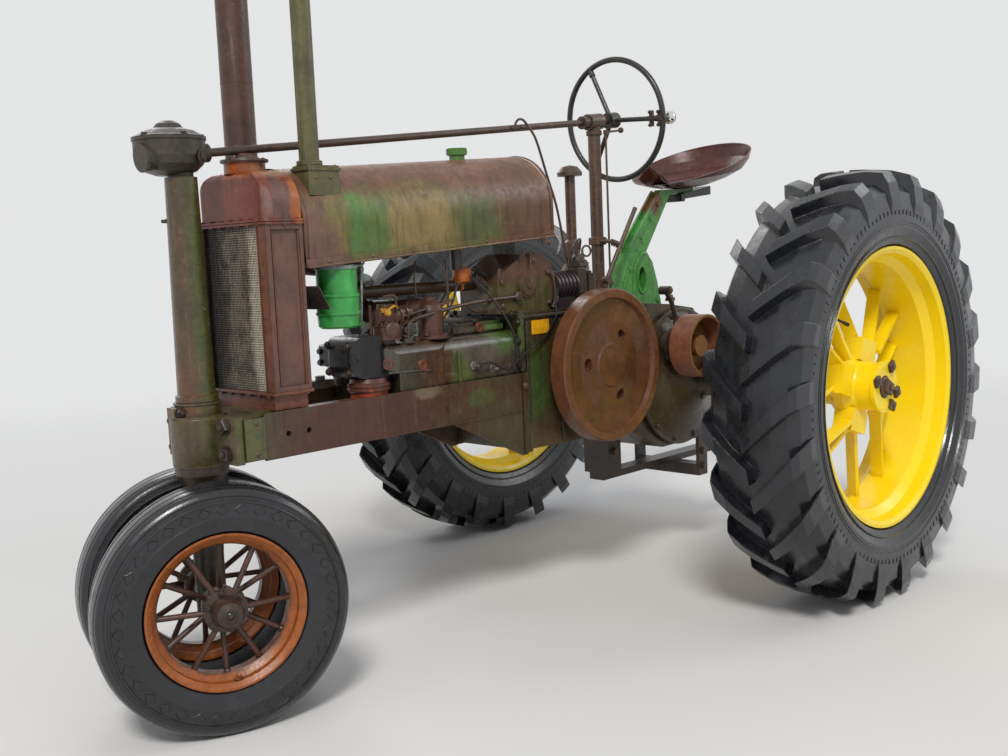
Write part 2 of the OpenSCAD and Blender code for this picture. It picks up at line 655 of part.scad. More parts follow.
module front_wheel() color(orange) {
  h = front_rim_w / 2;
  r = front_rim_r;
  spun_y() polygon([[r, -h], [r, 5 - h], [r - 12, 12 - h], [r - 14, 26 - h], [r - 32, 40 - h], [r - 32, h - 40],
    [r - 14, h - 26], [r - 12, h - 12], [r, h - 5], [r, h], [r - 6, h], [r - 19, h - 10], [r - 20, h - 28],
    [r - 38, h - 42], [r - 38, 42 - h], [r - 20, 28 - h], [r - 19, 10 - h], [r - 6, -h]]);
  difference() {
    spun_y() polygon([[0, -50], [44, -50], [52, -40], [52, -26], [40, -20], [40, 18], [60, 22], [60, 34], [44, 38],
      [40, 66], [34, 80], [20, 86], [0, 87]]);
    translate([0, -60, 0]) rotate([-90, 0, 0]) cylinder(r = front_axle_r + running_gap, h = 122);
  }
  for (i = [0 : front_spokes - 1]) rotate([0, i * 360 / front_spokes, 0])
    bar([0, i % 2 == 0 ? -32 : 28, 38], [0, i % 2 == 0 ? -6 : 6, r - 35], 16);
}

module front_tyre() color(black) {
  h = front_tyre_w / 2;
  r = front_tyre_r;
  rim = front_rim_r;
  bead = [front_rim_w / 2 - 12, front_rim_w / 2 - 26];
  spun_y() polygon([[rim - 12, -bead[0]], [rim + 1, -51], [rim + 7, -59], [rim + 40, -70], [rim + 70, -h],
    [r - 32, 4 - h], [r - 10, 12 - h], [r - 2, -40], [r, -front_crown_flat], [r, front_crown_flat], [r - 2, 40],
    [r - 10, h - 12], [r - 32, h - 4],
    [rim + 70, h], [rim + 40, 70], [rim + 7, 59], [rim + 1, 51], [rim - 12, bead[0]], [rim - 14, bead[1]],
    [rim + 20, 50], [rim + 68, h - 12], [r - 34, h - 16], [r - 14, 36], [r - 12, 0], [r - 14, -36], [r - 34, 16 - h],
    [rim + 68, 12 - h], [rim + 20, -50], [rim - 14, -bead[1]]]);
}

// Columns: angle from its lug and offset along the axle, at the hub and at the rim
spoke_plan = [[16, 6, 25, -66], [26, 22, 41, -30], [-12, -10, -31, -62]];
spoke_size = [15, 44];
hub_out = 112;
hub_barrel_r = 84;
lug_turn = 107;
spoke_foot_r = 150;
// Flat bar between two points given by angle round the axle, radius and offset along it
module spoke(a, b) {
  v = b - a;
  translate(a) rotate([0, acos(v[2] / norm(v)), atan2(v[1], v[0])])
    linear_extrude(norm(v)) rotate(-atan2(v[1], v[0])) square([spoke_size[0], spoke_size[1]], center = true);
}
function wheel_point(angle, r, y) = [r * cos(angle), y, r * sin(angle)];
module rear_wheel() color(yellow) {
  h = rear_rim_w / 2;
  r = rear_rim_r;
  w = rim_wall;
  spun_y() polygon([[r, -h], [r, 8 - h], [r - 16, 12 - h], [r - 20, 44 - h], [r - 46, 70 - h], [r - 46, h - 70],
    [r - 20, h - 44], [r - 16, h - 12], [r, h - 8], [r, h], [r - 10, h], [r - 24, h - 8], [r - 28, h - 46],
    [r - 46 - w, h - 73], [r - 46 - w, 73 - h], [r - 28, 46 - h], [r - 24, 8 - h], [r - 10, -h]]);
  spun_y() polygon([[0, -120], [62, -120], [72, -108], [72, -66], [96, -52], [110, -30], [110, 4], [96, 22],
    [hub_barrel_r + 2, 40], [hub_barrel_r, hub_out - 16], [hub_barrel_r + 6, hub_out - 14],
    [hub_barrel_r + 6, hub_out], [hub_barrel_r - 8, hub_out + 2], [40, hub_out - 2], [38, hub_out - 8],
    [0, hub_out - 8]]);
  for (i = [0 : hub_lugs - 1]) rotate([0, -lug_turn - i * 360 / hub_lugs, 0]) {
    translate([0, 0, -55]) block([84, -36, 0], [spoke_foot_r + 14, 34, 110]);
    for (c = spoke_plan) spoke(wheel_point(c[0], spoke_foot_r, c[1]), wheel_point(c[2], r - 46 - w / 2, c[3]));
  }
  translate([0, -rear_track_half + 566, 0]) rotate([-90, 0, 0]) cylinder(r = axle_r, h = rear_track_half - 566);
}

// Tread lugs: each is a bar in plan, cut to a band that follows the tread and its shoulders
lug_base = rear_tyre_r - lug_h;
lug_step = 360 / lugs;
tread_turn = 9.4;
// Columns: distance from the tread's middle, leading edge, width
lug_plan = [[-4, 60 + lug_w, lug_w], [70, -4 + lug_w, lug_w + 2], [176, -94 + lug_w, lug_w + 18]];
module lug_outline() polygon(concat([for (c = lug_plan) [c[1], c[0]]],
  [for (i = [len(lug_plan) - 1 : -1 : 0]) [lug_plan[i][1] - lug_plan[i][2], lug_plan[i][0]]]));
module lug_band() {
  h = rear_tyre_w / 2;
  r = rear_tyre_r;
  rim = rear_rim_r;
  b = lug_base;
  spun_y() polygon([[rim + 110, -h + 8], [rim + 118, -h - 3], [rim + 150, -h - 5], [r - 50, 2 - h], [r - 16, 14 - h],
    [r - 4, 60 - h], [r, -30], [r, 30], [r - 4, h - 60], [r - 16, h - 14], [r - 50, h - 2], [rim + 150, h + 5],
    [rim + 118, h + 3], [rim + 110, h - 8], [b - 46, h - 16], [b - 22, h - 42], [b - 10, h - 90], [b - 8, 0],
    [b - 10, 90 - h], [b - 22, 42 - h], [b - 46, 16 - h]]);
}
module rear_tyre() color(black) {
  h = rear_tyre_w / 2;
  g = rear_rim_w / 2;
  rim = rear_rim_r;
  b = lug_base;
  spun_y() polygon([[rim - 16, 12 - g], [rim + 1, 10 - g], [rim + 8, -g - 4], [rim + 60, -h - 2], [rim + 130, -h],
    [b - 44, 8 - h], [b - 14, 34 - h], [b - 3, 90 - h], [b, 0], [b - 3, h - 90], [b - 14, h - 34],
    [b - 44, h - 8], [rim + 130, h], [rim + 60, h + 2], [rim + 8, g + 4], [rim + 1, g - 10], [rim - 16, g - 12],
    [rim - 20, g - 44], [rim + 30, h - 22], [rim + 130, h - 18], [b - 50, h - 26], [b - 32, h - 50], [b - 20, 0],
    [b - 32, 50 - h], [b - 50, 26 - h],
    [rim + 130, 18 - h], [rim + 30, 22 - h], [rim - 20, 44 - g]]);
  for (s = [0, 1]) mirror([0, s, 0]) for (i = [0 : lugs - 1]) rotate([0, tread_turn + (i + s / 2) * lug_step, 0])
    intersection() {
      lug_band();
      translate([0, 0, rim + 60]) linear_extrude(rear_tyre_r - rim) lug_outline();
    }
}
module rear_wheel_frame() { translate([0, rear_track_half, rear_axle_z]) children(); }

// Columns: angle and length of each slotted hole in the flywheel's web
web_slots = [[125, 46], [245, 46], [5, 46]];
web_slot_r = 122;
web_slot_w = 34;
module flywheel() color(rust) place() translate([crank_x, 0, crank_z]) difference() {
  spun_y() polygon([[0, 205], [crank_r, 205], [crank_r, flywheel_face - flywheel_t - 10],
    [100, flywheel_face - flywheel_t - 10], [100, flywheel_face - flywheel_t], [flywheel_r, flywheel_face - flywheel_t],
    [flywheel_r, flywheel_face - 4], [flywheel_r - 5, flywheel_face], [flywheel_r - 32, flywheel_face],
    [flywheel_r - 38, flywheel_face - 16], [160, flywheel_face - 22], [80, flywheel_face - 14],
    [74, flywheel_face - 8], [0, flywheel_face - 8]]);
  for (slot = web_slots) rotate([0, -slot[0], 0]) translate([web_slot_r, flywheel_face + 1, 0]) rotate([90, 0, 0])
    linear_extrude(40) round_rect([-web_slot_w / 2, -slot[1] / 2], [web_slot_w / 2, slot[1] / 2], web_slot_w / 2 - 1);
}
module belt_pulley() color(rust) place() mirror([0, 1, 0]) {
  f = flywheel_face - flywheel_t - 10;
  translate([crank_x, 0, crank_z]) spun_y() polygon([[0, 205], [crank_r, 205], [crank_r, f + 2], [110, f + 2],
    [110, f + 60], [pulley_r - 8, f + 60], [pulley_r - 8, f + 4], [pulley_r, f + 4], [pulley_r + 3, f + 4 + pulley_w / 2],
    [pulley_r, f + 4 + pulley_w], [pulley_r - 8, f + 4 + pulley_w], [pulley_r - 8, f + 72], [70, f + 72],
    [70, f + pulley_w + 20], [0, f + pulley_w + 20]]);
}

module fan() color(grey) place() translate([fan_x, 0, fan_z]) {
  translate([-90, 0, 0]) rotate([0, 90, 0]) cylinder(r = 10, h = 100);
  translate([-30, 0, 0]) rotate([0, 90, 0]) cylinder(r = 34, h = 40);
  for (i = [0 : fan_blades - 1]) rotate([i * 360 / fan_blades, 0, 0]) translate([-10, 0, 30]) rotate([0, 0, 28])
    block([-2, -38, 0], [2, 38, fan_r - 30]);
}

module steering_shaft() color(brown) place() {
  along_shaft(wheel_x) cylinder(r = shaft_r, h = (wheelbase - shaft_end - wheel_x) / cos(shaft_rise));
  along_shaft(post_x + 42) cylinder(r = 24, h = 30);
}

wheel_x = 160;
hand_wheel_turn = 86;
module steering_wheel() color(black) place() along_shaft(wheel_x) {
  ring_r = hand_wheel_r - hand_rim_d / 2;
  translate([0, 0, -14]) rotate_extrude($fn = 96) translate([ring_r, 0]) circle(d = hand_rim_d, $fn = 32);
  difference() {
    translate([0, 0, -16]) cylinder(r = 30, h = 50);
    cylinder(r = shaft_r, h = 60);
  }
  for (i = [0 : hand_spokes - 1]) rotate([0, 0, hand_wheel_turn + i * 360 / hand_spokes])
    bar([20, 0, 6], [ring_r, 0, -14], 18);
  rotate([0, 0, hand_wheel_turn]) translate([ring_r, 0, -14]) {
    cylinder(r = 17, h = 20, center = true);
    translate([0, 0, -44]) sphere(r = 24);
    translate([0, 0, -44]) cylinder(r = 8, h = 40);
  }
}

bolster();
steering_column();
gear_case();
frame_rails();
radiator_bottom_tank();
radiator_core();
radiator_sides();
radiator_top_tank();
radiator_cap();
hood();
fuel_tank();
fuel_cap();
exhaust_stack();
intake_stack();
air_cleaner();
cylinder_block();
valve_cover();
manifold();
carburettor();
filter_can();
governor_case();
magneto();
breather();
crankcase();
axle_housings();
brake_drums();
steering_post();
hand_levers();
brake_pedals();
seat_support();
seat_pan();
drawbar();
drawbar_frame();
spindle();
place() front_wheel_frame() front_wheel();  // front_wheel_left
place() front_wheel_frame() front_tyre();  // front_tyre_left
place() right_steered() front_wheel_frame() front_wheel();  // front_wheel_right
place() right_steered() front_wheel_frame() front_tyre();  // front_tyre_right
place() rear_wheel_frame() rear_wheel();  // rear_wheel_left
place() rear_wheel_frame() rear_tyre();  // rear_tyre_left
place() mirror([0, 1, 0]) rear_wheel_frame() rear_wheel();  // rear_wheel_right
place() mirror([0, 1, 0]) rear_wheel_frame() rear_tyre();  // rear_tyre_right
flywheel();
belt_pulley();
fan();
steering_shaft();
steering_wheel();
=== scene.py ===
"""Row-crop tractor: finishes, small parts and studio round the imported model.
Lengths are in metres, and those handed to a Solid in millimetres. at(x, y, z) counts x from the rear axle,
y from the middle and z from the floor."""
import json
from math import cos, pi, radians, sin, tau

import bmesh
import bpy
from mathutils import Matrix, Vector


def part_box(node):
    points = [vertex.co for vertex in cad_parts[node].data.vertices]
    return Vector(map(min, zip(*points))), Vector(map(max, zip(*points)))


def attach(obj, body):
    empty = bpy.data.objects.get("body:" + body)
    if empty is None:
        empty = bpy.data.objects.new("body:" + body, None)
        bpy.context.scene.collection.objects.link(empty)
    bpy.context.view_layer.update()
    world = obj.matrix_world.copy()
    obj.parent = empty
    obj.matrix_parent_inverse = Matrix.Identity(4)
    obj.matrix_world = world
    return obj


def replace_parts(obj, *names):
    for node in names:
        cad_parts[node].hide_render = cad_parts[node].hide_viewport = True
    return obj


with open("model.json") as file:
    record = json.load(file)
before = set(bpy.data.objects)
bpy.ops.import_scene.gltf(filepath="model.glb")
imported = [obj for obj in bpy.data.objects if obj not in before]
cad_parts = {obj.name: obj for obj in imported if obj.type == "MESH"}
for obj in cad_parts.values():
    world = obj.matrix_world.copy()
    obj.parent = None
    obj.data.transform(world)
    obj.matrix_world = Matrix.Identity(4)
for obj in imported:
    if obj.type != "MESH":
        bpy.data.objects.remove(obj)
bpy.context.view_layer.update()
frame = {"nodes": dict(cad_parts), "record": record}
nodes = frame["nodes"]
box = {name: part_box(name) for name in nodes}
axle_x = (box["rear_wheel_left"][0].x + box["rear_wheel_left"][1].x) / 2

AHEAD, LEFT, RIGHT, UP, DOWN = (1, 0, 0), (0, 1, 0), (0, -1, 0), (0, 0, 1), (0, 0, -1)


def at(x, y, z):
    return Vector((x + axle_x, y, z))


# Camera and studio
CAMERA_AT = (3.6926, 2.7732, 1.2745)
CAMERA_YAW, CAMERA_PITCH, CAMERA_ROLL = 0.8019, 0.113, -0.0431
CAMERA_LENS = 40.42
AMBIENT = (0.46, 0.47, 0.49, 1)
BACKDROP = (0.78, 0.785, 0.79, 1)
FLOOR = (0.73, 0.727, 0.72, 1)
FLOOR_HALF = 60.0
FADE_FROM, FADE_TO = 2.6, 9.0
LAMPS = [
    # name, place, aim, size, power, colour
    ("key", (9, 8, 12), (0, 0, 0.6), 3.6, 1750, (1, 0.97, 0.93)),
    ("side", (-11, 8, 8), (-0.4, 0, 0.9), 7, 330, (0.93, 0.96, 1)),
    ("back", (-5, -12, 10), (0, 0, 0.9), 7, 400, (1, 1, 1)),
]

# Sockets of a Mix node that mixes colours
MIX_A, MIX_B, MIXED = 6, 7, 2


def fill(tree, target, inputs):
    """Sets a node's inputs: a socket of another node is linked, anything else is written."""
    for key, value in inputs.items():
        if isinstance(value, bpy.types.NodeSocket):
            tree.links.new(value, target.inputs[key])
        else:
            target.inputs[key].default_value = value


def add_node(tree, kind, inputs=None, **settings):
    made = tree.nodes.new("ShaderNode" + kind)
    for key, value in settings.items():
        setattr(made, key, value)
    fill(tree, made, inputs or {})
    return made


def show(o):
    bpy.context.scene.collection.objects.link(o)


def camera():
    cy, sy = cos(CAMERA_YAW), sin(CAMERA_YAW)
    cp, sp = cos(CAMERA_PITCH), sin(CAMERA_PITCH)
    ahead = Vector((-sy * cp, -cy * cp, -sp))
    right = ahead.cross(Vector(UP)).normalized()
    up = right.cross(ahead)
    cr, sr = cos(CAMERA_ROLL), sin(CAMERA_ROLL)
    right, up = cr * right + sr * up, cr * up - sr * right
    data = bpy.data.cameras.new("camera")
    data.lens, data.sensor_width, data.sensor_fit = CAMERA_LENS, 36, "HORIZONTAL"
    data.clip_start, data.clip_end = 0.05, 200
    eye = bpy.data.objects.new("camera", data)
    turn = Matrix((right, up, -ahead)).transposed()
    eye.matrix_world = Matrix.Translation(at(*CAMERA_AT)) @ turn.to_4x4()
    show(eye)
    bpy.context.scene.camera = eye


def studio():
    scene = bpy.context.scene
    scene.view_settings.view_transform = "Standard"
    world = bpy.data.worlds.new("studio")
    world.use_nodes = True
    scene.world = world
    tree = world.node_tree
    tree.nodes.clear()
    path = add_node(tree, "LightPath").outputs
    seen = add_node(tree, "Math", {0: path["Is Camera Ray"], 1: path["Is Glossy Ray"]}, operation="MAXIMUM")
    clear = add_node(tree, "Math", {0: seen.outputs[0], 1: path["Is Transmission Ray"]}, operation="MAXIMUM")
    mix = add_node(tree, "Mix", {0: clear.outputs[0], MIX_A: AMBIENT, MIX_B: BACKDROP}, data_type="RGBA")
    back = add_node(tree, "Background", {"Color": mix.outputs[MIXED]})
    add_node(tree, "OutputWorld", {0: back.outputs[0]})
    for name, place, aim, size, power, colour in LAMPS:
        data = bpy.data.lights.new(name, "AREA")
        data.shape, data.size, data.energy, data.color = "DISK", size, power, colour
        lamp = bpy.data.objects.new(name, data)
        lamp.location = place
        lamp.rotation_euler = (Vector(aim) - Vector(place)).to_track_quat("-Z", "Y").to_euler()
        show(lamp)
    mesh = bpy.data.meshes.new("floor")
    corners = [(FLOOR_HALF * x, FLOOR_HALF * y, 0) for x, y in ((-1, -1), (1, -1), (1, 1), (-1, 1))]
    mesh.from_pydata(corners, [], [(0, 1, 2, 3)])
    mesh.materials.append(pale_floor())
    floor = bpy.data.objects.new("floor", mesh)
    show(floor)


def pale_floor():
    """Matt floor that fades into the backdrop a few metres out, so that it has no edge."""
    mat = bpy.data.materials.new("pale_floor")
    mat.use_nodes = True
    tree = mat.node_tree
    shader = tree.nodes["Principled BSDF"]
    fill(tree, shader, {"Base Color": FLOOR, "Roughness": 0.9, "Specular IOR Level": 0.2})
    coord = add_node(tree, "TexCoord").outputs["Object"]
    reach = add_node(tree, "VectorMath", {0: coord}, operation="LENGTH").outputs["Value"]
    fade = add_node(tree, "MapRange", {"Value": reach, "From Min": FADE_FROM, "From Max": FADE_TO},
                    interpolation_type="SMOOTHSTEP")
    clear = add_node(tree, "BsdfTransparent")
    mix = add_node(tree, "MixShader", {0: fade.outputs[0], 1: shader.outputs[0], 2: clear.outputs[0]})
    fill(tree, tree.nodes["Material Output"], {"Surface": mix.outputs[0]})
    return mat


# Materials
def paint(code):
    """Linear colour from a written one such as #5d5a3a."""
    parts = [int(code[i:i + 2], 16) / 255 for i in (1, 3, 5)]
    return tuple(p / 12.92 if p <= 0.04045 else ((p + 0.055) / 1.055) ** 2.4 for p in parts) + (1,)


class Finish:
    """Builds one procedural material. Sockets are passed as values, so that a finish reads as a recipe."""

    def __init__(self, name):
        self.mat = bpy.data.materials.new(name)
        self.mat.use_nodes = True
        self.shader = self.mat.node_tree.nodes["Principled BSDF"]
        self.coord = self.node("TexCoord").outputs["Object"]

    def node(self, kind, inputs=None, **settings):
        return add_node(self.mat.node_tree, kind, inputs, **settings)

    def scaled(self, x, y, z):
        return self.node("Mapping", {"Scale": (x, y, z), "Vector": self.coord}).outputs[0]

    def noise(self, scale, detail=4, rough=0.55, bend=0.0, vector=None):
        return self.node("TexNoise", {"Vector": vector or self.coord, "Scale": scale, "Detail": detail,
                                      "Roughness": rough, "Distortion": bend}).outputs[0]

    def math(self, operation, a, b):
        return self.node("Math", {0: a, 1: b}, operation=operation).outputs[0]

    def weigh(self, a, share_a, b, share_b):
        return self.math("ADD", self.math("MULTIPLY", a, share_a), self.math("MULTIPLY", b, share_b))

    def vector(self, operation, a, b=None):
        """Vector from two vectors, or without b the length of one."""
        made = self.node("VectorMath", {0: a} if b is None else {0: a, 1: b}, operation=operation)
        return made.outputs["Value" if operation in ("LENGTH", "DOT_PRODUCT") else 0]

    def step(self, value, low, high, start=0.0, end=1.0):
        return self.node("MapRange", {"Value": value, "From Min": low, "From Max": high, "To Min": start,
                                      "To Max": end}, interpolation_type="SMOOTHSTEP").outputs[0]

    def mix(self, share, a, b, blend="MIX"):
        return self.node("Mix", {0: share, MIX_A: a, MIX_B: b}, data_type="RGBA", blend_type=blend).outputs[MIXED]

    def tint(self, level, strength, colour, code):
        """Colour turned to the written one where level is 1, as far as strength says."""
        return self.mix(self.math("MULTIPLY", level, strength), colour, paint(code))

    def zone(self, centre, radii, ragged=2.0, soft=0.3):
        """1 inside an egg round centre (in the frame of at()), 0 outside, with a ragged edge."""
        reach = self.vector("LENGTH", self.vector("DIVIDE", self.vector("SUBTRACT", self.coord, at(*centre)), radii))
        wave = self.math("SUBTRACT", self.noise(20, 8, 0.78, 0.3, self.scaled(1, 1, 0.5)), 0.5)
        reach = self.math("ADD", reach, self.math("MULTIPLY", wave, ragged))
        return self.math("SUBTRACT", 1.0, self.step(reach, 1 - soft, 1 + soft))

    def ring(self, centre, axis, low, high, ragged=0.02):
        """Rises from 0 at radius low to 1 at radius high round an axis through centre."""
        out = self.vector("CROSS_PRODUCT", self.vector("SUBTRACT", self.coord, at(*centre)), Vector(axis).normalized())
        wave = self.math("MULTIPLY", self.noise(30, 5, 0.7), ragged)
        reach = self.math("ADD", self.vector("LENGTH", out), wave)
        return self.step(self.math("SUBTRACT", reach, ragged / 2), low, high)

    def facing(self, direction):
        """How far the surface turns to a direction."""
        normal = self.node("NewGeometry").outputs["Normal"]
        return self.step(self.vector("DOT_PRODUCT", normal, Vector(direction).normalized()), 0.2, 0.8)

    def crevice(self, distance):
        """Near 1 in corners and under other pieces, 0 in the open."""
        open_share = self.node("AmbientOcclusion", {"Distance": distance}, samples=4).outputs["AO"]
        return self.math("SUBTRACT", 1.0, open_share)

    def bump(self, height, strength, distance, edge):
        """Relief, and edges that look rounded over the radius edge."""
        inputs = {"Height": height, "Strength": strength, "Distance": distance}
        if edge:
            inputs["Normal"] = self.node("Bevel", {"Radius": edge}, samples=2).outputs[0]
        return self.node("Bump", inputs).outputs[0]

    def done(self, colour, rough, normal=None, metal=0.0, coat=0.0):
        inputs = {"Base Color": colour, "Roughness": rough, "Metallic": metal, "Coat Weight": coat,
                  "Coat Roughness": 0.15}
        if normal:
            inputs["Normal"] = normal
            if coat:
                inputs["Coat Normal"] = normal
        fill(self.mat.node_tree, self.shader, inputs)
        return self.mat


# Frames of the wheels: local Y points outward along the axle
MIRROR = Matrix.Diagonal((1, -1, 1, 1))
AXLE_Z = 0.747
REAR = Matrix.Translation((0, 0.915, AXLE_Z))
FRONT = Matrix.Translation((0, 0.1415, 0.3446)) @ Matrix.Rotation(radians(-1.5), 4, "X")
PIVOT = Matrix.Translation((2.05, 0, 0)) @ Matrix.Rotation(radians(-19.2), 4, "Z")
WHEELS = {"rear_left": REAR, "rear_right": MIRROR @ REAR, "front_left": PIVOT @ FRONT,
          "front_right": PIVOT @ MIRROR @ FRONT}
BLACK = "#100c0a"


def aged(name, main, second, patch, gloss, pit=0.5, fleck=None, fleck_share=0.0, grime=BLACK, share=0.5,
         streaks=0.0, edge=0.0, coat=0.0, zones=(), sides=(), rings=(), dirt=0.0, cloud=1.0):
    """Old metal: main colour with patches of a second one, flecks, grime and painted shade in the corners, pits and
    fine grain.
    zones are (centre, radii, colour, strength), rings (centre, axis, radius from, to, colour, strength) and
    sides (direction, colour, strength)."""
    f = Finish(name)
    big = f.noise(patch, 6, 0.68, 0.5)
    fine = f.noise(patch * 11, 5, 0.65)
    grain = f.noise(460, 3, 0.6)
    where = f.weigh(big, 0.7, fine, 0.3)
    middle = 0.5 + (0.5 - share) * 0.3
    colour = f.mix(f.step(where, middle - 0.07, middle + 0.07), paint(main), paint(second))
    for *egg, code, strength in zones:
        colour = f.tint(f.zone(*egg), strength, colour, code)
    for *band, code, strength in rings:
        colour = f.tint(f.ring(*band), strength, colour, code)
    for direction, code, strength in sides:
        level = f.math("MULTIPLY", f.facing(direction), f.step(where, 0.36, 0.56, 0.35, 1.0))
        colour = f.tint(level, strength, colour, code)
    if streaks:
        runs = f.noise(1.0, 4, 0.65, 0.2, f.scaled(60, 60, 4.0))
        colour = f.tint(f.step(runs, 0.5, 0.7), streaks, colour, grime)
        if fleck:
            colour = f.tint(f.step(runs, 0.42, 0.3), streaks * 0.8, colour, fleck)
    if fleck:
        level = 0.66 - fleck_share * 0.14
        flecks = f.step(f.noise(patch * 8, 7, 0.8, 0.3), level, level + 0.06, 0.0, 0.8)
        colour = f.mix(flecks, colour, paint(fleck))
    tone = f.step(f.noise(patch * 4, 6, 0.75), 0.25, 0.75, 1 - 0.32 * cloud, 1 + 0.28 * cloud)
    colour = f.mix(1.0, colour, tone, "MULTIPLY")
    # Corners and spots under other pieces, found by ambient occlusion, are darkened towards the grime colour: grime
    # and painted shade.
    if dirt:
        corner = f.math("ADD", f.crevice(0.06), f.math("MULTIPLY", fine, 0.35))
        colour = f.mix(f.step(corner, 0.42, 0.95, 0, dirt), colour, paint(grime))
    rough = f.step(f.weigh(fine, 0.6, grain, 0.4), 0.3, 0.7, gloss - 0.14, gloss + 0.2)
    normal = f.bump(f.weigh(fine, 0.7, grain, 0.3), pit, 0.0012, edge)
    return f.done(colour, rough, normal, 0.0, coat)


